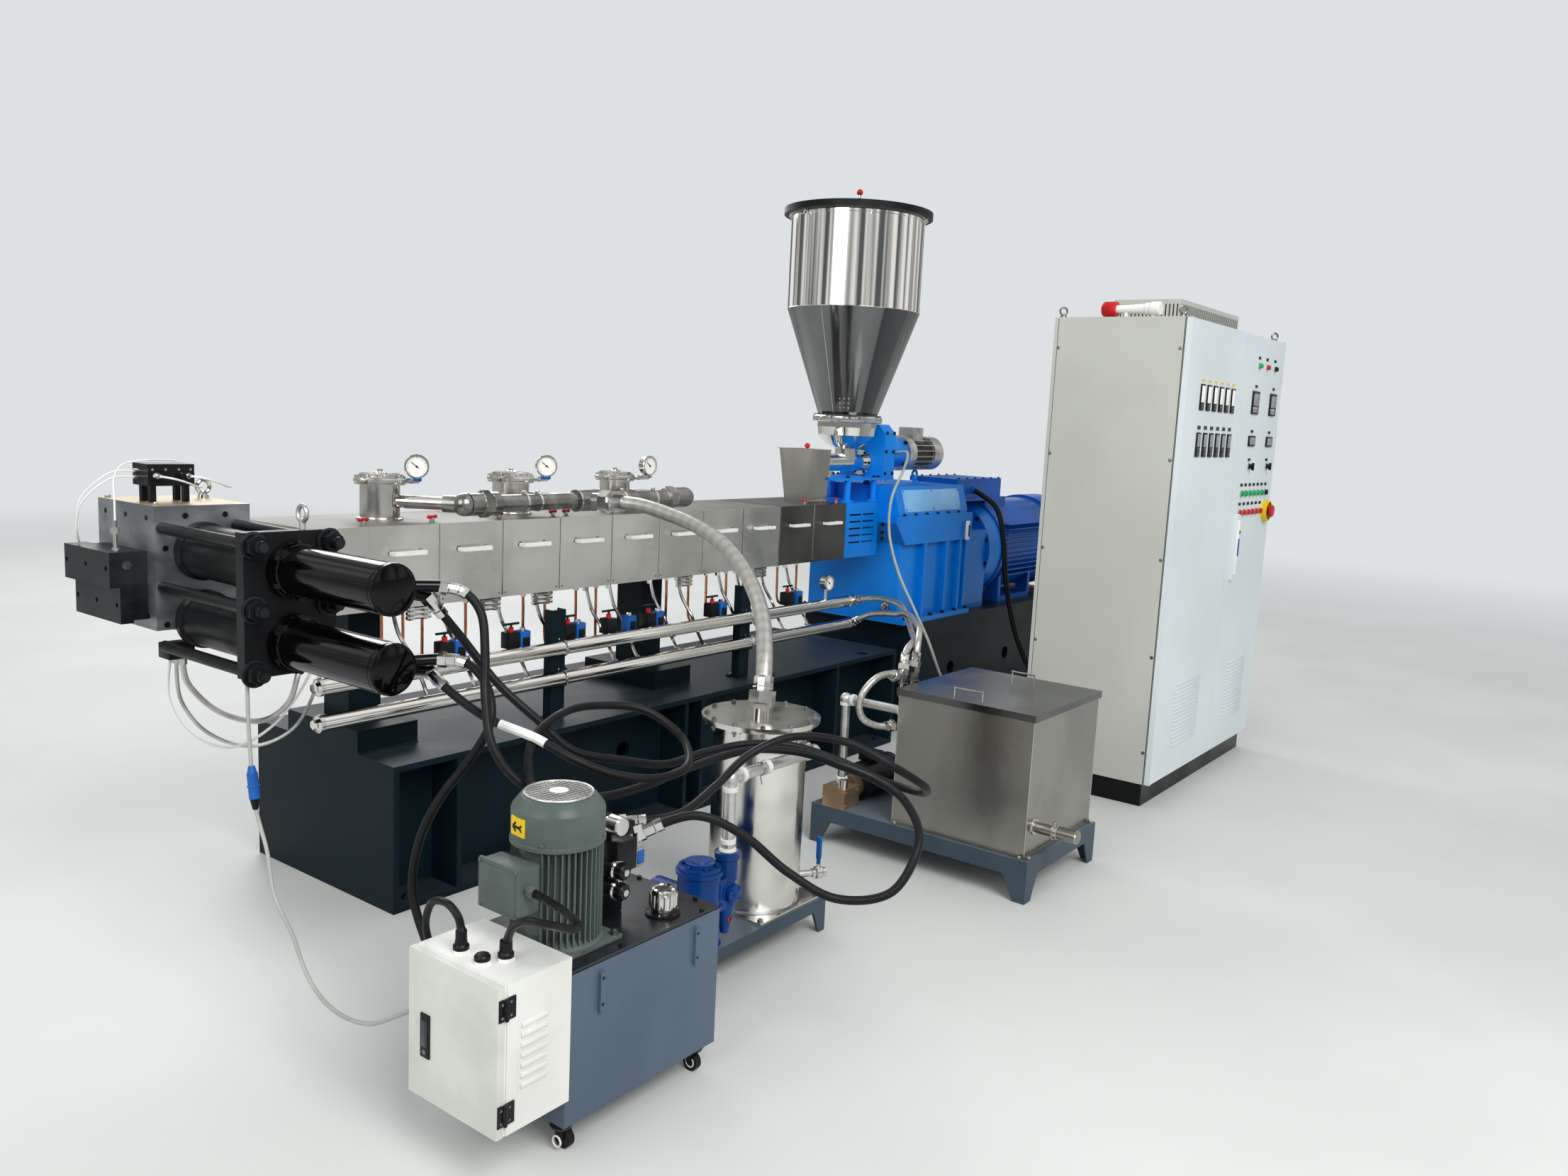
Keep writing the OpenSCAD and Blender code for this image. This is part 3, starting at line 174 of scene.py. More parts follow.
# Its lid, darker still with water marks.
lid_dull = finish("lid_dull", "#70716F", 0.24, 1, "#5A5B5B", 3.4, swing=0.09, bump=0.05, grain=160)
# Ground stainless of the vent domes.
dome_steel = finish("dome_steel", "#E2E0DA", 0.17, 1, "#CBC9C3", 8, bump=0.03, grain=200)
# Oiled machined tool steel of the changer block, marbled by the cutter.
block_steel = finish("block_steel", "#A2A6AA", 0.42, 0.8, "#787C80", 5, stretch=(1, 1, 2),
                     swing=0.1, bump=0.06, grain=70)
# The die in front of it, darker with burnt plastic.
die_steel = finish("die_steel", "#34373C", 0.42, 0.8, "#25272B", 6, stretch=(1, 1, 2), swing=0.1,
                   bump=0.06, grain=70)
# Tan heat-stained face on top of the changer block.
scale_steel = finish("scale_steel", "#B9A88C", 0.45, 0.6, "#9A876A", 7)
# Forged barrel sections, dull brown grey.
barrel_steel = finish("barrel_steel", "#4A4642", 0.55, 0.7, "#332F2B", 8)
# Gloss black enamel of the hydraulic cylinders.
cylinder_black = finish("cylinder_black", "#030304", 0.12, 0, "#050506", 4, swing=0.04, coat=0.15,
                        ior=1.25)
# Satin black of the valves, plates and small castings.
satin_black = finish("satin_black", "#0C0D0F", 0.38, 0, "#141518", 6, swing=0.1, bump=0.03)
# Petrol grey machine paint of the base frame, dust on the ledge.
base_paint = finish("base_paint", "#0D1E25", 0.42, 0, "#0A181E", 2.0, swing=0.1, bump=0.03,
                    grain=80, dust="#454C50", ior=1.2)
# Slate grey paint of the vacuum and water stands.
stand_paint = finish("stand_paint", "#3D4B57", 0.4, 0, "#34414C", 3.0, bump=0.02, dust="#7C858C")
# Bright azure machine paint of the gearbox and the feeder.
blue_paint = finish("blue_paint", "#0280E0", 0.34, 0, "#0273CC", 2.2, bump=0.02, grain=70)
# The same azure where it is worn lighter on the gearbox lid.
blue_pale = finish("blue_pale", "#86BBE4", 0.34, 0, "#70A9D8", 4, swing=0.06)
# Deep blue enamel of the main motor.
motor_blue = finish("motor_blue", "#0A5FBE", 0.3, 0, "#0850A4", 3.0, swing=0.06)
# Pale grey powder coat of the cabinet's shell.
cabinet_grey = finish("cabinet_grey", "#BABBB3", 0.42, 0, "#B3B4AC", 1.6, swing=0.05, bump=0.01)
# The cabinet doors' powder coat, a lighter, cooler copy of the shell's grey: painted light on the
# side facing the main light.
door_grey_lit = finish("door_grey_lit", "#D2DADC", 0.36, 0, "#CBD3D5", 1.6, swing=0.05, bump=0.01)
# Black enamel of the plinth.
plinth_black = finish("plinth_black", "#060708", 0.35, 0, "#0A0B0D", 4)
# Blue grey enamel of the oil tank's sides.
oil_grey = finish("oil_grey", "#515F70", 0.34, 0, "#495666", 2.4, swing=0.06, bump=0.01)
# Oily top plate of the tank.
oil_top = finish("oil_top", "#24282D", 0.24, 0.2, "#191C20", 5, swing=0.12)
# Grey green paint of the oil unit's motor.
motor_green = finish("motor_green", "#545E5A", 0.38, 0, "#48524E", 5)
# White powder coat of the small control box, a little soiled.
box_white = finish("box_white", "#DEDED9", 0.36, 0, "#D2D2CC", 5, swing=0.06)
# Its door, in a darker copy of the white: painted shade on the side that takes less light.
box_door_shaded = finish("box_door_shaded", "#CDCEC6", 0.36, 0, "#BFC0B8", 5, swing=0.06)
# Navy enamel of the vacuum pump.
pump_navy = finish("pump_navy", "#0A3A80", 0.26, 0, "#083068", 5, swing=0.06)
# Grey cast pipe and fittings of the vacuum manifold.
pipe_grey = finish("pipe_grey", "#A3A29D", 0.3, 1, "#7D7B76", 9, swing=0.1)
# Galvanised pipe.
zinc = finish("zinc", "#CFCFCB", 0.36, 0.85, "#B4B4AF", 14, swing=0.1)
# Cast bronze of the water pump head.
bronze = finish("bronze", "#B89C80", 0.42, 0.8, "#9C8268", 12)
# Black moulded rubber of seals, hoses and the hopper lid.
rubber = finish("rubber", "#0A0A0C", 0.5, 0, "#101114", 9, bump=0.05, grain=120)
# Chrome plate of gauge rims, caps and unions.
chrome = finish("chrome", "#DAD9D5", 0.12, 1, "#C4C3BF", 9, swing=0.05)
# Zinc plated bolts and clips.
bolt_steel = finish("bolt_steel", "#8E8F8E", 0.34, 0.9, "#6E6F6F", 20)
# Black oxide bolts and nuts.
bolt_black = finish("bolt_black", "#1B1C1E", 0.4, 0.5, "#2A2B2E", 20)
# Pale grey sleeve of the sensor and feeder cables.
cable_grey = finish("cable_grey", "#A5A7A2", 0.45, 0, "#989A95", 9, swing=0.05)
# Drawn copper tube, browned.
copper = finish("copper", "#D08A66", 0.26, 1, "#B06C4C", 12, swing=0.1)
# White moulded nylon of handles and clamps.
nylon_white = finish("nylon_white", "#E6E6E2", 0.35, 0, "#DADAD5", 8, swing=0.05)
# White enamel of gauge dials.
dial_white = finish("dial_white", "#F2F1EA", 0.4, 0, "#ECEBE4", 8, swing=0.03)
# Black ink of dial marks.
ink = finish("ink", "#0B0B0C", 0.5, 0, swing=0.03)
# Red moulded knobs and push buttons.
red_plastic = finish("red_plastic", "#C41E22", 0.32, 0, "#AE181C", 12, swing=0.05)
# Green push buttons.
green_plastic = finish("green_plastic", "#11A05E", 0.32, 0, "#0E8C52", 12, swing=0.05)
# Yellow guard of the stop button and the plain rotation mark.
yellow_plastic = finish("yellow_plastic", "#E8C414", 0.36, 0, "#DDB80F", 12, swing=0.05)
# Blue coil bodies and valve levers.
blue_plastic = finish("blue_plastic", "#1C5AA8", 0.34, 0, "#184E94", 12, swing=0.05)
# Grey moulded fronts of the controllers.
meter_grey = finish("meter_grey", "#8E9494", 0.35, 0, "#858B8B", 12, swing=0.05)
# Dark glass of displays.
display = finish("display", "#1A1F22", 0.15, 0, "#20262A", 12, swing=0.04, coat=0.5)


class Bench:
    """Holds the mesh of the piece in hand; every shape below is added to it."""
    mesh = bmesh.new()


def tint(made, mat):
    """Gives the faces of what an operator made their finish, by its place in the piece's list."""
    verts = [v for v in made if isinstance(v, bmesh.types.BMVert)]
    for face in {f for v in verts for f in v.link_faces}:
        face.material_index = mat


def join(part):
    """Adds a shape made on its own to the piece in hand."""
    mesh = bpy.data.meshes.new("part")
    part.to_mesh(mesh)
    part.free()
    Bench.mesh.from_mesh(mesh)
    bpy.data.meshes.remove(mesh)


def box(x, y, z, l, w, h, mat=0, round_by=0.0, turn=None, carry=None):
    """A block from its low corner, edges rounded where a size is given; turn tips it about its own
    middle and carry takes it from its own drawing to the machine."""
    place = (carry or Matrix()) @ Matrix.Translation((x + l / 2, y + w / 2, z + h / 2))
    if turn:
        place = place @ turn
    made = bmesh.ops.create_cube(Bench.mesh, size=1, matrix=place @ Matrix.Diagonal((l, w, h, 1)))
    tint(made["verts"], mat)
    if round_by:
        edges = list({e for v in made["verts"] for e in v.link_edges})
        bmesh.ops.bevel(Bench.mesh, geom=edges, offset=round_by, segments=2, profile=0.5,
                        affect="EDGES", material=-1)


def rod(a, b, d, mat=0, sides=20, end=None):
    """A round bar between two points; six sides make a nut, end is the far diameter of a cone."""
    a, b = Vector(a), Vector(b)
    place = Matrix.Translation((a + b) / 2) @ (b - a).to_track_quat("Z", "Y").to_matrix().to_4x4()
    made = bmesh.ops.create_cone(Bench.mesh, cap_ends=True, segments=sides, radius1=d / 2,
                                 radius2=(d if end is None else end) / 2, depth=(b - a).length,
                                 matrix=place)
    tint(made["verts"], mat)


def stud(a, axis, long, d, mat=0, sides=20, end=None):
    """A rod from a point, by its direction and length."""
    rod(a, Vector(a) + long * Vector(axis), d, mat, sides, end)


def lathe(base, axis, profile, mat=0, steps=24):
    """A turned shape: (radius, height) points carried round an axis that starts at base."""
    place = Matrix.Translation(base) @ Vector(axis).to_track_quat("Z", "Y").to_matrix().to_4x4()
    turned = bmesh.new()
    verts = [turned.verts.new((r, 0, h)) for r, h in profile]
    edges = [turned.edges.new(pair) for pair in zip(verts, verts[1:])]
    bmesh.ops.spin(turned, geom=verts + edges, cent=(0, 0, 0), axis=UP, angle=2 * pi, steps=steps,
                   use_merge=True)
    bmesh.ops.remove_doubles(turned, verts=turned.verts, dist=0.01)
    bmesh.ops.transform(turned, matrix=place, verts=turned.verts)
    tint(turned.verts, mat)
    join(turned)


def ring(centre, axis, radius, wire, mat=0, steps=28):
    """A round ring of round wire."""
    turns = [i * pi / 4 for i in range(9)]
    lathe(centre, axis, [(radius + wire * cos(t), wire * sin(t)) for t in turns], mat, steps)


def ball(centre, d, mat=0):
    """A round knob."""
    made = bmesh.ops.create_uvsphere(Bench.mesh, u_segments=16, v_segments=10, radius=d / 2,
                                     matrix=Matrix.Translation(centre))
    tint(made["verts"], mat)


def circle(centre, axis, r, count, start=0):
    """Points spaced evenly on a circle about an upright, a lengthwise or a crosswise axis."""
    for i in range(count):
        a = radians(start + 360 * i / count)
        c, s = r * cos(a), r * sin(a)
        yield Vector(centre) + Vector((c, s, 0) if axis[2] else (c, 0, s) if axis[1] else (0, c, s))


def heading(turn):
    """A level direction, by its angle in degrees from the one towards the motor."""
    return Vector((cos(radians(turn)), sin(radians(turn)), 0))


def through(points, steps):
    """The smooth curve through a route's points, the same one that the hose solids follow."""
    p = [Vector(q) for q in points]
    line = []
    for i in range(len(p) - 1):
        a, b, c, d = p[max(i - 1, 0)], p[i], p[i + 1], p[min(i + 2, len(p) - 1)]
        for k in range(steps):
            t = k / steps
            line.append(b + (c - a) * t / 2 + (2 * a - 5 * b + 4 * c - d) * t * t / 2
                        + (3 * b - a - 3 * c + d) * t * t * t / 2)
    return line + [p[-1]]


def strand(name, line, d, rings):
    """A Blender curve along a line of points, round in section, closed at its ends."""
    data = bpy.data.curves.new(name, "CURVE")
    data.dimensions = "3D"
    spline = data.splines.new("POLY")
    spline.points.add(len(line) - 1)
    for point, place in zip(spline.points, line):
        point.co = (*place, 1)
    data.bevel_depth = d / 2
    data.bevel_resolution = rings
    data.use_fill_caps = True
    return data


def pipe(points, d, mat=0, steps=5, rings=1):
    """A rigid bent tube through points."""
    holder = bpy.data.objects.new("bend", strand("bend", through(points, steps), d, rings))
    bent = bmesh.new()
    bent.from_mesh(bpy.data.meshes.new_from_object(holder))
    tint(bent.verts, mat)
    join(bent)
    bpy.data.objects.remove(holder)


def bolt(head, axis, d, mat=0, washer=True):
    """A hexagon bolt head with its washer and the thread's end, standing on a face."""
    head, axis = Vector(head), Vector(axis).normalized()
    if washer:
        rod(head - axis, head + axis * d * 0.12, d * 2.1, mat, 14)
    rod(head, head + axis * d * 0.75, d * 1.85, mat, 6)
    rod(head + axis * d * 0.7, head + axis * d * 1.05, d, mat, 10, d * 0.85)


def shift(matrix):
    """Takes all that the piece in hand has so far from its own drawing to the machine."""
    bmesh.ops.transform(Bench.mesh, matrix=matrix, verts=Bench.mesh.verts)


def piece(name, finishes, body="plant"):
    """Takes the finished piece from the bench: faces outwards, machine millimetres to the frame,
    edges kept crisp."""
    bm, Bench.mesh = Bench.mesh, bmesh.new()
    bmesh.ops.recalc_face_normals(bm, faces=bm.faces)
    bmesh.ops.transform(bm, matrix=MACHINE, verts=bm.verts)
    mesh = bpy.data.meshes.new(name)
    bm.to_mesh(mesh)
    bm.free()
    for mat in finishes:
        mesh.materials.append(mat)
    mesh.polygons.foreach_set("use_smooth", [True] * len(mesh.polygons))
    mesh.set_sharp_from_angle(angle=radians(35))
    obj = bpy.data.objects.new(name, mesh)
    bpy.context.scene.collection.objects.link(obj)
    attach(obj, body)
    return obj


def second_finish(node, mat, picks):
    """Another finish on those faces of a CAD node that a test of their middle and facing picks."""
    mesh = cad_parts[node].data
    mesh.materials.append(mat)
    back = MACHINE.inverted()
    for face in mesh.polygons:
        if picks(back @ face.center, face.normal):
            face.material_index = len(mesh.materials) - 1


def hose(node, route, d, mat):
    """A hose or cable on its own route, in place of the plain tube of the CAD model."""
    line = [MACHINE @ q for q in through(route, 24)]
    length = sum((b - a).length for a, b in zip(line, line[1:]))
    obj = bpy.data.objects.new(node + "_look", strand(node + "_look", line, d / 1000, 5))
    obj.data.materials.append(mat(length) if callable(mat) else mat)
    bpy.context.scene.collection.objects.link(obj)
    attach(obj, "plant")
    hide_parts(node)


LOOKS = {
    "base_frame": base_paint, "drive_platform": base_paint, "barrel": barrel_steel,
    "barrel_covers": covers_steel, "head_cover": covers_steel, "screen_changer": block_steel,
    "strand_die": die_steel, "cylinder_plate": satin_black, "cylinder_upper": cylinder_black,
    "cylinder_lower": cylinder_black, "changer_valve": satin_black, "vent_dome_1": dome_steel,
    "vent_dome_2": dome_steel, "vent_dome_3": dome_steel, "vacuum_manifold": pipe_grey,
    "feed_funnel": tank_steel, "feeder_stand": blue_paint, "feeder_gearbox": blue_paint,
    "feeder_motor": zinc, "feeder_bowl": hopper_steel, "hopper": hopper_steel, "hopper_lid": rubber,
    "coupling_guard": blue_paint, "gearbox": blue_paint, "main_motor": motor_blue,
    "water_main_lower": hopper_steel, "water_main_upper": hopper_steel,
    "pipe_post_left": base_paint, "pipe_post_right": base_paint, "oil_tank": oil_grey,
    "oil_motor": motor_green, "oil_valves": satin_black, "filler_cap": chrome,
    # The control box's door takes the shaded copy of the box's white: painted shade.
    "control_box": box_white, "control_box_door": box_door_shaded, "vacuum_stand": stand_paint,
    "catch_pot": dome_steel, "catch_pot_lid": dome_steel, "vacuum_pump": pump_navy,
    "vacuum_pipe": zinc, "water_stand": stand_paint, "water_tank": tank_dull,
    "water_tank_lid": lid_dull, "water_pump": bronze, "suction_pipe": zinc,
    # The cabinet doors take the lit copy of the cabinet's grey: painted light.
    "cabinet": cabinet_grey, "cabinet_door_left": door_grey_lit, "cabinet_door_right": door_grey_lit,
}
for name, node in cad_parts.items():
    node.data.materials.clear()
    node.data.materials.append(LOOKS.get(name, rubber))


# What the camera sees behind the machine.
SKY = "#DDE1E3"


def floor():
    """The pale floor, which fades into the sky far away from the machine."""
    bm = bmesh.new()
    bmesh.ops.create_grid(bm, x_segments=1, y_segments=1, size=80)
    mesh = bpy.data.meshes.new("studio_floor")
    bm.to_mesh(mesh)
    bm.free()
    ground = bpy.data.objects.new("studio_floor", mesh)
    paint = finish("floor_paint", "#CDCECB", 0.5, 0, "#C8C9C6", 1.0, swing=0.03)
    mesh.materials.append(paint)
    tree = paint.node_tree
    ray = add(tree, "ShaderNodeLightPath")
    where = add(tree, "ShaderNodeTexCoord")
    away = add(tree, "ShaderNodeVectorMath", {"operation": "LENGTH"}, {0: where.outputs["Object"]})
    far = add(tree, "ShaderNodeMapRange", {"interpolation_type": "SMOOTHSTEP"},
              Value=away.outputs["Value"], From_Min=4.5, From_Max=15)
    seen = add(tree, "ShaderNodeMath", {"operation": "MULTIPLY"},
               {0: far.outputs["Result"], 1: ray.outputs["Is Camera Ray"]})
    haze = add(tree, "ShaderNodeEmission", Color=linear(SKY))
    near = tree.nodes["Principled BSDF"].outputs[0]
    blend = add(tree, "ShaderNodeMixShader", (),
                {0: seen.outputs[0], 1: near, 2: haze.outputs[0]})
    tree.links.new(blend.outputs[0], tree.nodes["Material Output"].inputs["Surface"])
    ground.location.z = -0.0005
    bpy.context.scene.collection.objects.link(ground)


def sky():
    """A plain sky for the camera, a pale one for soft light, and for gloss a hall of light and dark
    upright bands over a grey floor."""
    world = bpy.data.worlds.new("studio_sky")
    bpy.context.scene.world = world
    world.use_nodes = True
    tree = world.node_tree

    def mix(fac, low, high):
        node = add(tree, "ShaderNodeMix", {"data_type": "RGBA"}, {0: fac, 6: low, 7: high})
        return node.outputs[2]

    where = add(tree, "ShaderNodeTexCoord")
    spot = add(tree, "ShaderNodeMapping", Vector=where.outputs["Generated"], Scale=(1, 1, 0.12))
    cloud = add(tree, "ShaderNodeTexNoise", Vector=spot.outputs["Vector"], Scale=4.5, Detail=2)
    bands = add(tree, "ShaderNodeValToRGB", Fac=cloud.outputs["Fac"])
    grade(bands, (0.42, 0.58), ("#5C6163", "#FFFFFF"))
    height = add(tree, "ShaderNodeSeparateXYZ", Vector=where.outputs["Generated"])
    rise = add(tree, "ShaderNodeMapRange", {"interpolation_type": "SMOOTHSTEP"},
               Value=height.outputs["Z"], From_Min=0, From_Max=0.09)
    hall = mix(rise.outputs["Result"], linear("#8A8883"), bands.outputs["Color"])
    ray = add(tree, "ShaderNodeLightPath")
    pick = mix(ray.outputs["Is Glossy Ray"], linear("#CBCFD1"), hall)
    back = mix(ray.outputs["Is Camera Ray"], pick, linear(SKY))
    tree.links.new(back, tree.nodes["Background"].inputs["Color"])


def lamps():
    """Three soft lights: from the camera's side, from the die end and from behind."""
    for label, spot, aim, size, power in (
        ("key", (-3.5, -7.5, 6.5), (0.2, -0.6, 0.8), 4.5, 640),
        ("fill", (-8.0, -1.0, 4.5), (-1.0, -0.4, 0.8), 4.0, 190),
        ("rim", (3.5, 6.5, 6.0), (0.8, 0.0, 1.0), 5.0, 420),
    ):
        light = bpy.data.lights.new(label, "AREA")
        light.size = size
        light.energy = power
        lamp = bpy.data.objects.new(label, light)
        lamp.location = spot
        lamp.rotation_euler = (Vector(aim) - Vector(spot)).to_track_quat("-Z", "Y").to_euler()
        bpy.context.scene.collection.objects.link(lamp)


def camera():
    """The photo's standpoint: lens, place and lean solved from the machine's straight lines."""
    cam = bpy.data.cameras.new("camera")
    cam.sensor_width = 36
    cam.lens = 27.531
    cam.clip_end = 300
    view = bpy.data.objects.new("camera", cam)
    yaw, pitch, roll = (radians(a) for a in (-53.2314, 8.0976, 2.7986))
    ahead = Vector((-sin(yaw) * cos(pitch), cos(yaw) * cos(pitch), -sin(pitch)))
    flat = Vector((cos(yaw), sin(yaw), 0))
    rise = flat.cross(ahead)
    right = cos(roll) * flat + sin(roll) * rise
    up = cos(roll) * rise - sin(roll) * flat
    turn = Matrix((right, up, -ahead)).transposed()
    view.matrix_world = Matrix.Translation((-3.653, -3.46, 1.6)) @ turn.to_4x4()
    bpy.context.scene.collection.objects.link(view)
    bpy.context.scene.camera = view
    bpy.context.scene.view_settings.view_transform = "Standard"


# The middle lines of the hoses and cables, in machine millimetres, start to end.
HOSE_UP = [
    (-330, -1050, 1150), (-285, -1085, 1135), (-270, -1130, 1085), (-290, -1170, 1000),
    (-320, -1210, 895), (-340, -1265, 790), (-303, -1323, 707), (-221, -1376, 664),
    (-110, -1410, 650), (30, -1420, 650), (160, -1420, 660), (300, -1430, 670), (440, -1450, 670),
    (510, -1560, 670), (510, -1700, 660), (470, -1840, 660), (420, -1960, 640), (340, -2050, 580),
    (260, -2030, 470), (170, -1930, 450), (100, -1830, 510), (30, -1740, 600), (-60, -1660, 650),
    (-150, -1566, 603),
]
HOSE_UP_BACK = [
    (-340, -1012, 1120), (-260, -1045, 1010), (-205, -1115, 900), (-145, -1200, 810),
    (-80, -1270, 730), (50, -1320, 690), (180, -1350, 660), (310, -1370, 670), (440, -1420, 680),
    (550, -1500, 670), (640, -1600, 630), (680, -1730, 590), (660, -1860, 590), (570, -1930, 640),
    (460, -1900, 710), (390, -1790, 770), (330, -1660, 770), (220, -1600, 730), (100, -1590, 670),
    (-40, -1590, 630), (-150, -1505, 615),
]
HOSE_LOW = [
    (-330, -1050, 968), (-292, -1104, 961), (-287, -1175, 915), (-310, -1218, 836),
    (-330, -1170, 740), (-380, -1120, 640), (-410, -1080, 530), (-430, -1080, 410),
    (-430, -1130, 300), (-430, -1210, 220), (-430, -1300, 165), (-430, -1378, 150),
]
HOSE_LOW_BACK = [
    (-340, -1012, 936), (-322, -1088, 886), (-279, -1174, 831), (-228, -1286, 796),
    (-180, -1380, 750), (-100, -1450, 710), (10, -1490, 690), (120, -1480, 700), (200, -1380, 740),
    (160, -1280, 800), (44, -1228, 822), (-88, -1236, 827), (-212, -1265, 789), (-301, -1354, 726),
    (-298, -1430, 628), (-250, -1470, 530),
]
VACUUM_ROUTE = [
    (958, -287, 1262), (1000, -430, 1260), (1020, -570, 1235), (1020, -700, 1205),
    (1000, -830, 1160), (960, -950, 1100), (900, -1060, 1030), (820, -1160, 960), (740, -1235, 880),
    (690, -1275, 800), (677, -1282, 742),
]
WATER_UP = [
    (2611, -316, 747), (2620, -430, 770), (2572, -556, 777), (2481, -672, 774), (2370, -772, 740),
    (2236, -871, 723), (2100, -970, 710), (1970, -1050, 720), (1858, -1110, 748),
    (1742, -1172, 777), (1645, -1203, 757), (1620, -1213, 700),
]
WATER_LOW = [
    (2611, -316, 637), (2600, -420, 690), (2532, -545, 721), (2435, -675, 745), (2334, -776, 775),
    (2236, -868, 782), (2140, -945, 780), (2020, -1030, 785), (1910, -1100, 805),
    (1792, -1170, 822), (1718, -1210, 782), (1700, -1213, 700),
]
WATER_BACK = [
    (1560, -1213, 680), (1500, -1215, 695), (1430, -1215, 690), (1380, -1200, 650),
    (1365, -1190, 595), (1385, -1200, 545), (1440, -1225, 515), (1502, -1250, 510),
]
CONDUIT_ROUTE = [
    (-545, -1648, 598), (-540, -1690, 590), (-530, -1730, 575), (-530, -1765, 560),
    (-560, -1785, 565), (-600, -1765, 580), (-620, -1715, 580), (-612, -1665, 550),
    (-600, -1630, 500),
]
SENSOR_ROUTE = [
    (-585, -607, 880), (-590, -620, 770), (-590, -630, 660), (-590, -650, 550), (-590, -700, 450),
    (-600, -750, 350), (-600, -830, 270), (-620, -920, 210), (-640, -1030, 180), (-650, -1140, 180),
    (-660, -1250, 210), (-660, -1340, 260), (-660, -1436, 320),
]
FEEDER_ROUTE = [
    (3250, -100, 1438), (3170, -230, 1450), (3030, -300, 1370), (2900, -320, 1230),
    (2850, -350, 1060), (2840, -420, 880), (2850, -510, 720), (2870, -590, 570), (2960, -600, 430),
    (3090, -560, 340), (3240, -510, 260), (3380, -500, 160), (3450, -610, 60), (3480, -780, 16),
    (3480, -970, 14), (3480, -1147, 60),
]
MOTOR_ROUTE = [
    (3960, -215, 1240), (3955, -360, 1150), (3950, -420, 970), (3940, -450, 790), (3950, -490, 600),
    (3950, -550, 430), (3960, -640, 270), (3960, -780, 150), (3970, -960, 120), (3970, -1147, 160),
]


def hoses():
    """Every hose and cable."""
    for node, route in (("oil_hose_upper", HOSE_UP), ("oil_hose_upper_back", HOSE_UP_BACK),
                        ("oil_hose_lower", HOSE_LOW), ("oil_hose_lower_back", HOSE_LOW_BACK)):
        hose(node, route, 22, rubber)

    # The braids repeat every 11 and 8 mm and the conduit's rings every 7 mm. The real wires are
    # finer; they are drawn this coarse so that they show.
    # Each skin's second colour is painted shade in the grooves between its wires or rings.
    def wide_braid(length):
        return ridged("vacuum_braid", "#CFCDC7", "#A09E98", 0.36, 0.9, 16, length / 0.011, 0.05)

    def water_braid(length):
        return ridged("water_braid", "#CCCBC5", "#9E9C96", 0.36, 0.9, 10, length / 0.008, 0.05)

    def conduit(length):
        return ridged("corrugated_conduit", "#1D1E21", "#020203", 0.25, 0, 1, length / 0.007, 1,
                      crossed=False)

    hose("vacuum_hose", VACUUM_ROUTE, 52, wide_braid)
    for node, route in (("water_hose_upper", WATER_UP), ("water_hose_lower", WATER_LOW),
                        ("water_hose_back", WATER_BACK)):
        hose(node, route, 25, water_braid)
    hose("conduit_hose", CONDUIT_ROUTE, 18, conduit)
    hose("sensor_cable", SENSOR_ROUTE, 10, cable_grey)
    hose("feeder_cable", FEEDER_ROUTE, 14, cable_grey)
    hose("motor_cable", MOTOR_ROUTE, 30, rubber)


def hose_ends():
    """Crimped ends of the oil, vacuum and water hoses, a sleeve on one of them, and the coupler of
    the sensor cable."""
    # Each hose's route, and the diameter and length of its crimped sleeves.
    for route, d, sleeve in ((HOSE_UP, 31, 62), (HOSE_UP_BACK, 31, 56), (HOSE_LOW, 31, 58),
                             (HOSE_LOW_BACK, 31, 54), (VACUUM_ROUTE, 63, 70), (WATER_UP, 33, 48),
                             (WATER_LOW, 33, 48), (WATER_BACK, 33, 34)):
        path = through(route, 8)
        for line in (path, path[::-1]):
            run, cut = 0, 1
            while run < sleeve:
                run += (line[cut] - line[cut - 1]).length
                cut += 1
            pipe(line[:cut], d, 0, 1, 3)
            axis = (line[1] - line[0]).normalized()
            rod(line[0] - axis * 4, line[0] + axis * d * 0.5, d * 1.35, 0, 6)
            for at in (int(cut * 0.3), int(cut * 0.6)):
                spot = line[at]
                lean = (line[min(at + 1, cut)] - spot).normalized()
                lathe(spot, lean, [(d / 2 - 1, -2), (d / 2 + 1.5, 0), (d / 2 - 1, 2)], 0, 16)
    piece("hose_ends", [chrome])

    pipe(through(HOSE_LOW_BACK, 8)[18:27], 24, 0, 1, 3)
    piece("hose_sleeve", [nylon_white])

    rod((-590, -634, 640), (-590, -645, 575), 27)
    rod((-590, -631, 658), (-590, -634, 640), 16, 0, 16, 24)
    rod((-590, -645, 575), (-591, -650, 548), 24, 1, 16, 14)
    ring((-590, -639, 607), (0, 0.2, 1), 13.5, 2.5, 0, 24)
    piece("cable_coupler", [blue_plastic, satin_black])


def dial(face, facing, d):
    """A gauge front: chrome rim 0, white dial 1, black marks and needle 2."""
    face, facing = Vector(face), Vector(facing).normalized()
    place = Matrix.Translation(face) @ facing.to_track_quat("Z", "Y").to_matrix().to_4x4()
    r = d / 2
    lathe(face, facing, [(r - 5, 0), (r + 1, 0), (r + 2, 3), (r, 7), (r - 4, 7), (r - 5, 3)], 0, 32)
    rod(face, place @ Vector((0, 0, 2)), d - 8, 1, 32)
    for i in range(21):
        mark = place @ Matrix.Rotation(radians(135 - 13.5 * i), 4, "Z")
        box(-0.6, r - 12, 2, 1.2, 3 if i % 5 else 5, 0.8, 2, carry=mark)
    needle = place @ Matrix.Rotation(radians(50), 4, "Z")
    box(-1.1, -r * 0.25, 3, 2.2, r * 0.85, 0.8, 2, carry=needle)
    rod(place @ Vector((0, 0, 2)), place @ Vector((0, 0, 5)), 7, 2, 12)


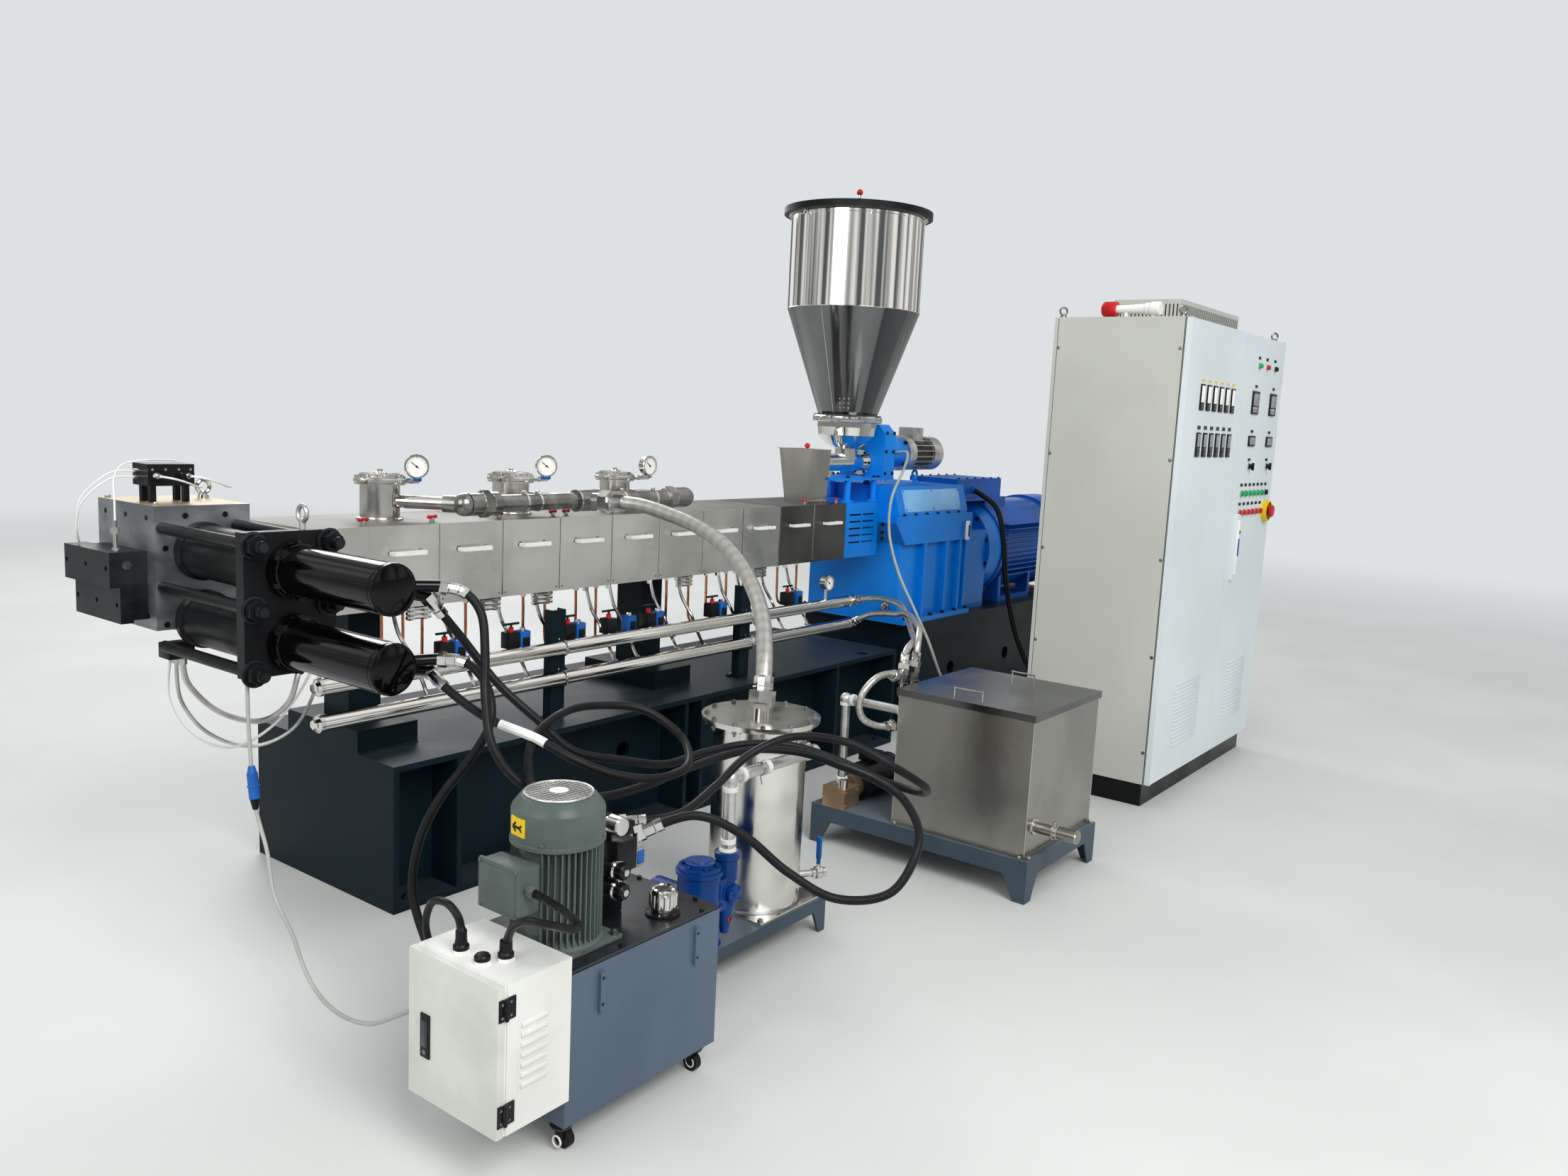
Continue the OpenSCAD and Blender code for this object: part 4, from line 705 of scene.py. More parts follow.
def gauges():
    """Dials of the three dome gauges and of the water main's gauge, and the dome levers."""
    for x, turn in ((332, -117), (904, -117), (1451, -90)):
        centre, facing = Vector((x, -35, 1377)), heading(turn)
        dial(centre + 14 * facing, facing, 78)
        rod(centre - 12 * facing, centre + 15 * facing, 72, 0, 32)
    dial((2380, -331, 850), NEAR, 68)
    piece("gauge_faces", [chrome, dial_white, ink])

    for x, mat in ((332, 1), (904, 1), (1451, 0)):
        stud((x - 16, -35, 1333), ON, 32, 20, 0, 6)
        stud((x, -35, 1333), NEAR, 21, 9, 0, 10)
        box(x - 52, -60, 1328, 58, 4, 11, mat, 1.5)
    piece("gauge_cocks", [chrome, blue_plastic])


def domes():
    """Clamp rings, wing bolts and lid grips of the vent domes; unions of the vacuum manifold."""
    for x, r in ((217, 64), (770, 66), (1304, 60)):
        lathe((x, 0, 1200), UP, [(r - 1, 0), (r + 12, 0), (r + 12, 6), (r + 3, 9), (r - 1, 9)])
        lathe((x, 0, 1317), UP, [(r + 16, 4), (r + 20, 8), (r + 20, 18), (r + 16, 22)], 0, 32)
        for spot in circle((x, 0, 1343), UP, r + 8, 8, 22.5):
            bolt(spot, UP, 6)
        for out in (heading(200), heading(320)):
            spot = Vector((x, 0, 1330)) + out * (r + 20)
            rod(spot - out * 4, spot + out * 22, 9, 0, 10)
            rod(spot + out * 10, spot + out * 20, 18, 0, 6)
        lathe((x, 0, 1352), UP, [(0, 0), (22, 0), (22, 4), (9, 7), (9, 14), (0, 15)])
    for x in (402, 470, 640, 700, 1000, 1120, 1290, 1360):
        lathe((x, -225, 1262), ON, [(29, -5), (32.5, -5), (32.5, 5), (29, 5)], 0, 28)
        box(x - 7, -231, 1291, 14, 12, 12, 0, 2)
    for x in (448, 486, 884, 974, 1398):
        lathe((x, -225, 1262), ON, [(34, -3), (41, -2), (41, 2), (34, 3)], 0, 28)
    piece("dome_clamps", [dome_steel])


def covers():
    """The two dull covers, tops in painted shade, white handles, knobs, screws and joints of the
    covers.
    """
    start, pitch, side_face, dull_from = 42, 264, -201, 2155
    second_finish("barrel_covers", covers_dull, lambda c, n: c.x > dull_from and c.y > side_face)
    # The tops of the other covers and of the head cover take the darker copy: painted shade.
    second_finish("barrel_covers", covers_top_shaded,
                  lambda c, n: n.z > 0.9 and c.z > 1150 and c.x < dull_from)
    second_finish("head_cover", covers_top_shaded, lambda c, n: n.z > 0.9 and c.z > 1150)
    second_finish("barrel_covers", nylon_white, lambda c, n: c.y < side_face)
    for x in (60, 320, 600, 850, 915, 1150, 1420, 2420, 2680):
        stud((x, -140, 1199), UP, 15, 15, 1, 12)
        rod((x - 15, -144, 1217), (x + 15, -136, 1217), 11, 0, 12)
        for s in (-1, 1):
            ball((x + s * 16, -140 + s * 4, 1217), 13)
    stud((1205, -80, 1200), UP, 36, 9, 1, 12)
    ball((1205, -80, 1244), 26)
    piece("cover_knobs", [red_plastic, chrome])

    for i in range(10):
        x = start + pitch * (i + 0.5)
        for side in (-55, 55):
            stud((x + side, side_face - 0.5, 1113), FAR, 2.5, 20, 0, 14)
        for side in (-118, 118):
            stud((x + side, side_face, 948), FAR, 2, 8, 0, 10)
    piece("cover_screws", [bolt_steel])

    for i in range(1, 10):
        x = start + pitch * i
        box(x - 4.2, -200.8, 941, 3, 1.2, 258)
        box(x - 1.1, -200.6, 941, 2.2, 1.2, 258, 1)
        box(x + 1.2, -200.8, 941, 3, 1.2, 258)
        box(x - 1.1, -198, 1199.2, 2.2, 396, 1, 1)
    piece("cover_joints", [dome_steel, ink])


def under_covers():
    """Copper feeds, solenoid valves with T handles, and steel returns with unions."""
    # Each feed's place along the barrel and the height that it comes down to.
    for x, low in ((100, 720), (180, 700), (254, 690), (430, 740), (683, 700), (785, 720),
                   (938, 740), (1041, 700), (1437, 690), (1571, 730), (1684, 760), (1816, 700),
                   (1932, 720), (2180, 750), (2327, 740)):
        pipe([(x, -178, 945), (x, -180, 860), (x, -182, low + 40), (x + 10, -190, low + 8),
              (x + 36, -205, low)], 11, 0, 4)
        stud((x, -178, 922), UP, 18, 20, 1, 6)
    piece("copper_feeds", [copper, chrome])

    # Pairs of valves: the one with the T handle and the one with the blue coil.
    for black, blue in ((301, 355), (582, 634), (846, 900), (1056, 1168), (1275, 1327),
                        (1661, 1719), (2189, 2262)):
        box(black - 26, -258, 754, 50, 46, 58, 0, 3)
        box(blue - 24, -256, 746, 46, 42, 66, 1, 4)
        box(blue - 14, -262, 760, 26, 8, 30, 0, 2)
        stud((blue, -235, 812), UP, 10, 20, 4, 6)
        stud((black, -236, 811), UP, 17, 19, 2, 12)
        stud((black, -236, 826), UP, 16, 9, 0, 10)
        stud((black - 34, -236, 840), ON, 68, 9, 0, 10)
        stud((black, -236, 738), UP, 18, 26, 3, 6)
        pipe([(black, -236, 745), (black, -250, 722), (black, -285, 725), (black, -316, 742)],
             13, 4, 4)
        stud((black, -292, 742), NEAR, 8, 26, 4, 6)
    piece("solenoid_valves", [satin_black, blue_plastic, red_plastic, bronze, chrome])

    for x in (140, 330, 560, 735, 990, 1110, 1340, 1500, 1760, 1880, 2050, 2240):
        pipe([(x, -176, 940), (x + 12, -196, 850), (x + 48, -222, 770), (x + 66, -245, 700),
              (x + 62, -282, 655), (x + 60, -316, 640)], 13)
        stud((x, -176, 915), UP, 23, 22, 0, 6)
        rod((x + 60, -288, 652), (x + 60, -300, 645), 24, 0, 6)
    for x, row in product((190, 480, 720, 1490, 1990), range(3)):
        stud((x, -186, 894 + 15 * row), ON, 92, 14, 0, 10)
        stud((x + 8, -186, 894 + 15 * row), ON, 14, 19, 0, 6)
        stud((x + 62, -186, 894 + 15 * row), ON, 16, 19, 0, 6)
    piece("steel_returns", [chrome])


def mains():
    """U-clips that hold the mains to the posts, end plugs, unions on the hose tails, foot bolts."""
    for x in (754.5, 1822.5):
        for z in (637, 747):
            ring((x, -316, z), ON, 28, 3.6, 0, 32)
            for s in (-1, 1):
                stud((x, -294, z + s * 28), FAR, 18, 7, 0, 8)
                stud((x, -284, z + s * 28), FAR, 6, 14, 0, 6)
        for side in (-20, 20):
            bolt((x + side, -240, 485), UP, 9)
    for z in (637, 747):
        lathe((-210, -316, z), ON, [(24, -1), (27, 0), (27, 12), (24, 14)], 0, 28)
        lathe((2582, -316, z), ON, [(24, -14), (27, -12), (27, 0), (17, 4)], 0, 28)
        stud((2588, -316, z), ON, 16, 44, 0, 6)
    piece("main_clips", [chrome])


def changer_block():
    """Stained top, tapped holes and tie rod ends of the screen changer's block and plate."""
    near_face, left_face = -165.6, -596.6
    second_finish("screen_changer", scale_steel, lambda c, n: n.z > 0.9 and c.z > 1275)
    second_finish("cylinder_plate", zinc, lambda c, n: c.z > 1253)
    for x, z in ((-512, 1252), (-399, 1252), (-568, 1164), (-568, 953), (-350, 953)):
        stud((x, near_face, z), FAR, 1.6, 13, 0, 16)
        lathe((x, near_face, z), NEAR, [(6.5, 0), (8.5, 0), (8.5, 0.6), (6.5, 0.6)], 1, 16)
    for y, z in product((-120, 0, 120), (975, 1245)):
        stud((left_face, y, z), ON, 1.6, 15, 0, 16)
    for x, z in product((-576, -366), (894, 1057, 1220)):
        stud((x, -680, z), FAR, 4, 26, 1, 16, 22)
        lathe((x, -626, z), NEAR, [(30, 0), (36, 1), (36, 5), (29, 6)], 1, 28)
    stud((-655, -131.5, 1120), FAR, 2.5, 24, 2, 18)
    piece("changer_bolts", [ink, die_steel, bolt_steel])


def changer_lines():
    """The die's probe, air lines and lifting eye on the block, then the conduits under it."""
    probe = (-672, -108)
    for low, long, d, sides in ((1154, 12, 20, 6), (1166, 40, 13, 16), (1206, 16, 24, 6),
                                (1222, 18, 11, 12)):
        stud((*probe, low), UP, long, d, 0, sides)
    pipe([(*probe, 1238), (*probe, 1300), (-668, -98, 1350), (-640, -80, 1385), (-590, -60, 1396),
          (-530, -40, 1398), (-470, -32, 1396)], 5, 1)
    for x in (-548, -462):
        stud((x, -79, 1356), NEAR, 13, 17, 0, 6)
        stud((x, -92, 1356), NEAR, 12, 11, 0, 12)
        pipe([(x, -102, 1356), (x + 30, -122, 1350), (x + 70, -118, 1338), (x + 110, -90, 1325),
              (x + 140, -60, 1322)], 6, 1)
    for z in (1350, 1366):
        stud((-560, -20, z), BACK, 22, 13, 0, 12)
        pipe([(-580, -20, z), (-640, -10, z - 6), (-700, 20, z - 70), (-700, 60, z - 150),
              (-680, 90, 1160)], 6, 1)
    lathe((-345, 60, 1280), UP, [(0, 0), (16, 0), (14, 10), (8, 14), (0, 14)], 0, 20)
    ring((-345, 60, 1314), FAR, 19, 6)
    for y in (140, -140):
        bolt((-580, y, 1280), UP, 9)
    for x in (-548, -512, -475, -442):
        stud((x, -61, 1372), FAR, 1.5, 7, 0, 10)
    piece("changer_lines", [chrome, nylon_white])

    box(-562, -158, 850, 74, 62, 44, 1, 3)
    for y in (-146, -112):
        stud((-520, y, 850), DOWN, 18, 26, 0, 6)
    pipe([(-520, -146, 838), (-506, -156, 770), (-440, -190, 690), (-345, -235, 655),
          (-272, -262, 700), (-236, -262, 790), (-170, -215, 890), (-128, -186, 944)], 17, 0, 8, 2)
    pipe([(-520, -112, 838), (-512, -120, 720), (-450, -150, 620), (-340, -190, 570),
          (-230, -220, 610), (-160, -225, 720), (-110, -206, 850), (-88, -184, 944)], 11, 0, 8, 2)
    pipe([(-540, -120, 850), (-556, -140, 740), (-520, -180, 640), (-420, -220, 588),
          (-300, -240, 640), (-200, -246, 760), (-140, -222, 870), (-150, -180, 944)], 8, 2, 8, 2)
    piece("head_conduits", [zinc, satin_black, nylon_white])


def cylinders():
    """Collar, bolts, end cap and flanged tube of both hydraulic cylinders."""
    x, plate = -465, -650
    for z in (1152, 960):
        lathe((x, plate, z), NEAR, [(63, 0), (70, 1), (70, 9), (67, 12), (63, 12)], 0, 40)
        lathe((x, -1048, z), NEAR, [(0, 4), (55, 4), (61, 1), (64.6, -6), (64.6, -14),
                                    (63, -16)], 0, 40)
        for spot in circle((x, plate, z), NEAR, 72, 6, 30):
            stud(spot, NEAR, 8, 13, 1, 12)
        lathe((x, -166, z), NEAR, [(54, 0), (82, 0), (82, 18), (75, 22), (75, 330), (82, 334),
                                   (82, 372), (54, 374)], 2, 48)
    piece("cylinder_rings", [cylinder_black, bolt_black, satin_black])


def hopper():
    """Painted reflection on the cone, seams, lid clips, rivets, clamp and knob of the hopper;
    the funnel's lip.
    """
    low, foot_r, mouth, wall = 1620, 150, 2140, 331
    toward = Vector((-0.827, -0.561, 0))

    def at(turn, r, z):
        """A place by its angle from the side that faces the camera, its radius and height."""
        return Vector((2945, 0, z)) + Matrix.Rotation(radians(turn), 3, "Z") @ toward * r

    # The cone takes the darker copy of the polished steel: a painted reflection.
    second_finish("hopper", cone_painted_reflection, lambda c, n: c.z < mouth - 1)
    ring((2945, 0, mouth), UP, wall, 1.6, 0, 96)
    lathe((2945, 0, 2590), UP, [(wall, -16), (wall + 3, -14), (wall + 3, -2), (wall, 0)], 0, 96)
    for turn in (-28, 62, 152, 242):
        stud(at(turn, wall + 0.5, mouth + 2), UP, 432, 2.4, 0, 6)
        rod(at(turn, foot_r + 2, low + 10), at(turn, wall + 0.5, mouth - 2), 2.4, 0, 6)
    for i in range(6):
        stud(at(12 + 60 * i, 346, 2574), UP, 28, 9, 1, 10)
        stud(at(12 + 60 * i, 346, 2570), UP, 10, 18, 1, 6)
    for row, col in product(range(3), range(3)):
        z = low + 40 + row * 22
        r = foot_r + (z - low) * (wall - foot_r) / (mouth - low)
        ball(at(-14 + col * 7, r + 1, z), 7, 1)
    clamp = at(-50, 172, 1605)
    across = Vector((0.56, -0.83, 0))
    rod(clamp - across * 22, clamp + across * 22, 12, 1, 10)
    for s in (-22, 22):
        rod(clamp + across * (s - 5), clamp + across * (s + 5), 22, 1, 6)
    lathe((2945, 0, 1590), UP, [(171, -1), (175, 3), (176, 15), (175, 27), (171, 31)], 0, 64)
    piece("hopper_trim", [hopper_steel, chrome])

    stud((2697, -168, 2638), UP, 14, 14, 1, 12)
    ball((2697, -168, 2664), 30)
    piece("hopper_knob", [red_plastic, chrome])

    second_finish("feed_funnel", red_plastic, lambda c, n: c.z > 1457.5 and 2560 < c.x < 2600)
    for x in (2474.5, 2626.5):
        box(x - 2, -112, 1214, 4, 130, 3)
    box(2471, -120, 1200, 159, 6, 16, 0, 1)
    for x in (2490, 2610):
        bolt((x, -122, 1208), NEAR, 6)
    piece("funnel_trim", [tank_steel])


def feeder():
    """Dark body of the feeder's motor; bolts of its table, gearbox and flange."""
    second_finish("feeder_motor", barrel_steel, lambda c, n: 3505 < c.x < 3698
                  and abs(n.x) < 0.5 and hypot(c.y, c.z - 1438) < 78)
    for x, y in product((2790, 3027), (-128, 128)):
        bolt((x, y, 1318), UP, 12)
        lathe((x, y, 1200), UP, [(17, 0), (34, 0), (34, 8), (17, 10)], 1, 20)
    for x, z in product((3116, 3184), (1338, 1450, 1545)):
        bolt((x, -135, z), NEAR, 9)
    for x, y in product((3070, 3165), (-128, 128)):
        bolt((x, y * 0.98, 1318), UP, 10)
    for spot in circle((3430, 0, 1438), BACK, 82, 4, 45):
        bolt(spot, BACK, 11)
    for spot in circle((3082, 0, 1388), BACK, 56, 6):
        bolt(spot, BACK, 8)
    piece("feeder_bolts", [bolt_black, blue_paint])


def gearbox():
    """Lid plate, bolts, sight glass, lifting eyes, breather and drain of the gearbox and motor."""
    box(-292, -58, 0, 584, 116, 3, 0, 1.4)
    slope = Matrix(((1, 0, 0), (0, 0.268, -0.964), (0, 0.964, 0.268))).to_4x4()
    shift(Matrix.Translation((3400, -260.6, 1203)) @ slope)
    for x in (3118, 3400, 3682):
        for z, y in ((1158, -274), (1252, -247.5)):
            rod((x, y, z), (x, y - 5, z + 1.4), 10, 1, 12)
    piece("lid_plate", [blue_pale, bolt_steel])

    for x, y in product(range(3075, 3760, 112), (-296, 296)):
        bolt((x, y, 1133), UP, 11)
    for x, y in product(range(3100, 3760, 128), (-319, 319)):
        bolt((x, y, 599), UP, 14)
    for spot in circle((4062, 0, 888), BACK, 262, 12, 15):
        bolt(spot, BACK, 13)
    for z, y in product((1010, 1040, 1080), (-230, 230)):
        bolt((2975, y, z + 8), BACK, 10)
    piece("gearbox_bolts", [bolt_black])

    box(3671, -340, 984, 26, 16, 104, 4, 3)
    stud((3684, -341, 1004), UP, 64, 9, 0, 12)
    for z in (984, 1078):
        stud((3684, -330, z + 5), FAR, 20, 12, 1, 12)
    for x in (3160, 3640):
        lathe((x, 0, 1276), UP, [(0, 0), (24, 0), (20, 10), (12, 16), (0, 16)], 2, 20)
        ring((x, 0, 1318), FAR, 24, 7, 2)
    lathe((3500, 120, 1276), UP, [(0, 0), (20, 0), (20, 20), (30, 22), (30, 44), (24, 50),
                                  (0, 50)], 1)
    stud((3076, -230, 660), BACK, 36, 30, 1, 16)
    stud((3052, -230, 660), BACK, 12, 44, 1, 6)
    stud((3040, -230, 660), BACK, 14, 20, 3, 16)
    piece("gearbox_fittings", [display, chrome, blue_paint, bronze, nylon_white])

    for x, y in product(range(3800, 4290, 96), (-192, 102)):
        bolt((x, y, 1305), UP, 8)
    lathe((4640, 0, 1178), UP, [(0, 0), (22, 0), (18, 10), (11, 14), (0, 14)], 1, 20)
    ring((4640, 0, 1214), FAR, 22, 6, 1)
    for x, y in product((4300, 4690), (-205, 205)):
        bolt((x, y, 603), UP, 16)
    piece("motor_bolts", [bolt_black, motor_blue])


def base():
    """Weld beads along the base frame's ribs and rails, and its anchor bolts."""
    bead = 6
    for x, side in product((240, 1343, 1442, 2400), (-1, 21)):
        stud((x + side, -254.5, 22), UP, 434, bead, 0, 6)
    for z in (456, 21):
        stud((20, -256, z), ON, 2880, bead, 0, 6)
    stud((3142, -301, 472), ON, 2056, bead, 0, 6)
    for x in (0, 1356):
        stud((x, -200, 478), ON, 225, bead, 0, 6)
    piece("weld_beads", [base_paint])

    for x in (80, 700, 1390, 2000, 2840):
        bolt((x, -345, 20), UP, 16)
    for x in (3220, 3800, 4500, 5120):
        bolt((x, -322, 20), UP, 16)
    piece("anchor_bolts", [bolt_black])


def oil_motor():
    """Fan grille, finned shell, terminal box and rotation mark of the hydraulic unit's motor."""
    middle, reach, gap = (-408, -1570), 74, 11.5
    stud((*middle, 764), UP, 3, 150, 1, 40)
    for turn in (0, 60, 120):
        along, side = heading(turn), heading(turn + 90)
        for i in range(-6, 7):
            half = sqrt(max(reach ** 2 - (i * gap) ** 2, 0))
            if half > 8:
                mid = Vector((*middle, 768.5)) + side * i * gap
                rod(mid - along * half, mid + along * half, 2.4, 0, 5)
    ring((*middle, 768), UP, 75, 3, 0, 40)
    stud((*middle, 767), UP, 4, 42)
    piece("fan_grille", [zinc, ink])

    hub = Matrix.Translation((*middle, 0))
    box(-498, -1670, 423, 200, 200, 12, 0, 3)
    lathe((*middle, 435), UP, [(84, 0), (104, 0), (104, 6), (88, 20), (84, 24), (84, 226),
                               (103, 226), (105, 228), (105, 236), (103, 238), (103, 300),
                               (101, 306), (84, 328), (80, 330.5), (0, 330.5)], 0, 64)
    # The fins leave out the angles that the terminal box takes up.
    fins, terminals_from, terminals_to = 44, 150, 206
    for i in range(fins):
        turn = 360 * (i + 0.5) / fins
        if not terminals_from < turn < terminals_to:
            box(82, -1.7, 450, 19, 3.4, 212, carry=hub @ Matrix.Rotation(radians(turn), 4, "Z"))
    for i in range(4):
        out = heading(209 + 90 * i)
        stud(Vector((*middle, 680)) + out * 101, out, 5, 10, 1, 12)
    box(-520, -1613, 550, 40, 86, 86, 0, 3)
    box(-566, -1632, 542, 52, 122, 104, 0, 5)
    box(-575, -1636, 538, 11, 130, 112, 0, 4)
    box(-577.5, -1626, 548, 3, 110, 92, 0, 1.2)
    for y, z in product((-1629, -1513), (545, 643)):
        stud((-577, y, z), ON, 3, 8, 1, 10)
    line = through(CONDUIT_ROUTE, 8)
    aim = (line[1] - line[0]).normalized()
    rod(line[0] - aim * 26, line[0] - aim * 10, 24, 0, 16)
    rod(line[0] - aim * 12, line[0] + aim * 4, 28, 0, 6)
    for x, y in product((-484, -312), (-1656, -1484)):
        bolt((x, y, 435), UP, 11, 1)
    shell = piece("motor_shell", [motor_green, bolt_steel])
    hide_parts("oil_motor")

    out = heading(172)
    face = Matrix((heading(172 + 90), UP, out)).transposed().to_4x4()
    face.translation = Vector((*middle, 708)) + out * 103
    box(-23, -19, -3, 46, 40, 5)
    box(-12, -3, 2, 26, 6, 0.8, 1)
    for s in (-1, 1):
        box(-18, -2.5 + s * 5, 2, 15, 5, 0.8, 1, turn=Matrix.Rotation(s * 0.72, 4, "Z"))
        box(8, -2 + s * 4, 2, 10, 4, 0.8, 1, turn=Matrix.Rotation(s * 0.6, 4, "Z"))
    shift(face)
    piece("rotation_mark", [yellow_plastic, ink])


def oil_valves():
    """The stack of valves on the tank, with its coils, knobs, plugs and pressure switch."""
    coil_x = -258
    box(-270, -1560, 424, 80, 90, 96, 0, 3)
    box(-268, -1556, 521, 76, 84, 46, 0, 3)
    box(-266, -1552, 568, 72, 78, 40, 0, 3)
    box(-264, -1612, 545, 66, 62, 74, 0, 4)
    box(-196, -1545, 500, 48, 60, 92, 0, 3)
    box(-190, -1542, 594, 56, 96, 34, 0, 4)
    box(-152, -1566, 520, 26, 6, 46, 1, 1)
    box(-150, -1569, 528, 22, 4, 32, 2, 1)
    for x, y in product((-258, -206), (-1548, -1484)):
        stud((x, y, 606), UP, 10, 11, 3, 6)
    for z in (508, 556):
        stud((coil_x, -1560, z), NEAR, 46, 34)
        lathe((coil_x, -1604, z), NEAR, [(0, 0), (24, 0), (24, 6), (20, 9), (0, 9)], 3, 28)
        lathe((coil_x, -1613, z), NEAR, [(0, 0), (18, 0), (18, 18), (15, 22), (0, 22)])
        for spot in circle((coil_x, -1614, z), NEAR, 18, 10):
            stud(spot, NEAR, 17, 5, 0, 6)
        stud((coil_x, -1635, z), NEAR, 3, 16, 3, 16)
    lathe((-247, -1560, 655), NEAR, [(0, 0), (14, 0), (14, 12), (23, 14), (23, 46), (20, 50),
                                     (0, 50)], 3, 28)
    stud((-247, -1556, 610), UP, 45, 26, 0, 16)
    for y in (-1566, -1505):
        stud((-150, y, 588), UP, 18, 26, 3, 6)
    stud((-250, -1470, 530), NEAR, 12, 30, 3, 6)
    pipe([(-262, -1500, 612), (-262, -1500, 640), (-232, -1508, 664), (-200, -1512, 640),
          (-196, -1512, 612)], 12)
    stack = piece("valve_stack", [satin_black, meter_grey, blue_plastic, chrome])
    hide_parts("oil_valves")


def oil_tank():
    """Oily top, filler cap, sight glass screws, lid bolts and castors of the tank."""
    second_finish("oil_tank", oil_top, lambda c, n: c.z > 413)
    second_finish("oil_tank", rubber, lambda c, n: c.z < 66)
    filler = (-135, -1640)
    lathe((*filler, 423), UP, [(0, 0), (42, 0), (42, 5), (36, 7), (0, 7)], 1, 32)
    lathe((*filler, 430), UP, [(0, 0), (27, 0), (27, 8), (31, 10), (31, 50), (28, 56),
                               (22, 57.6), (20, 55), (0, 55)], 0, 40)
    for spot in circle((*filler, 444), UP, 30.5, 14):
        stud(spot, UP, 32, 8, 0, 8, 7)
    for spot in circle((*filler, 428), UP, 37, 6, 30):
        stud(spot, UP, 3, 6, 0, 8)
    cap = piece("fluted_cap", [chrome, satin_black])
    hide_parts("filler_cap")

    for x, z in product((-403, -93), (322, 382)):
        stud((x, -1718.4, z), FAR, 2.4, 8, 0, 12)
    for x, y in ((-330, -1698), (-60, -1698), (-18, -1640), (-18, -1450), (-470, -1395),
                 (-240, -1395)):
        stud((x, y, 423), UP, 6, 13, 0, 12)
    for x, y in product((-485, -51), (-1673, -1413)):
        for side in (-2, 19):
            ring((x + side, y, 22), ON, 12, 2.2, 1, 24)
        lathe((x + 10, y, 64), DOWN, [(0, 0), (22, 0), (26, 4), (22, 12), (0, 12)])
    piece("tank_fittings", [satin_black, nylon_white])


def small_box():
    """Louvres, lock, hinges, glands and plug of the white control box."""
    for node in ("control_box", "control_box_door"):
        second_finish(node, satin_black, lambda c, n: c.y < -1721.4)
    second_finish("control_box", satin_black, lambda c, n: c.z > 465.5)
    box(-642, -1721.9, 222, 102, 1.4, 166)
    for i in range(7):
        box(-636, -1726.5, 231 + 22 * i, 70, 6, 12, 0, 2.8)
    box(-676.7, -1719.6, 143.4, 5.4, 282, 320.2)
    piece("box_louvres", [box_white])

    for name, x, body in (("hinge_screws_box", -664, "plant"),
                          ("hinge_screws_door", -686, "box_leaf")):
        for z in (177, 205, 402, 430):
            stud((x, -1725.4, z), FAR, 1.8, 6, 0, 10)
        piece(name, [bolt_steel], body)

    box(-699, -1509, 237, 5, 30, 97, 0, 1.5)
    box(-700, -1503, 262, 2, 18, 58, 1, 0.6)
    stud((-700, -1494, 250), ON, 2, 11, 2, 14)
    piece("box_lock", [satin_black, display, bolt_steel], "box_leaf")

    for x, y in ((-600, -1630), (-639, -1535), (-642, -1607)):
        lathe((x, y, 465), UP, [(12, 0), (19, 0), (19, 7), (12, 8)], 1, 6)
        lathe((x, y, 472), UP, [(12, 0), (17, 0), (17, 8), (14, 12), (12, 12)])
        for spot in circle((x, y, 473), UP, 15, 8):
            stud(spot, UP, 7, 4, 0, 6)
    stud((-639, -1535, 488), UP, 24, 24)
    stud((-639, -1535, 510), UP, 14, 24, 0, 20, 12)
    lathe((-642, -1607, 479), UP, [(0, 8), (12, 6), (14, 0), (0, 0)], 0, 20)
    lathe((-600, -1630, 478), UP, [(9, 30), (13, 29), (14, 0), (9, 0)], 0, 20)
    pipe([(-639, -1535, 510), (-641, -1526, 540), (-643, -1490, 560), (-643, -1440, 545),
          (-636, -1412, 480), (-600, -1402, 400), (-540, -1400, 370), (-498, -1400, 368)],
         17, 0, 8, 2)
    stud((-622, -1640, 134), UP, 9, 22, 1, 6)
    stud((-622, -1640, 126), UP, 10, 14, 1, 12)
    piece("box_glands", [satin_black, nylon_white])


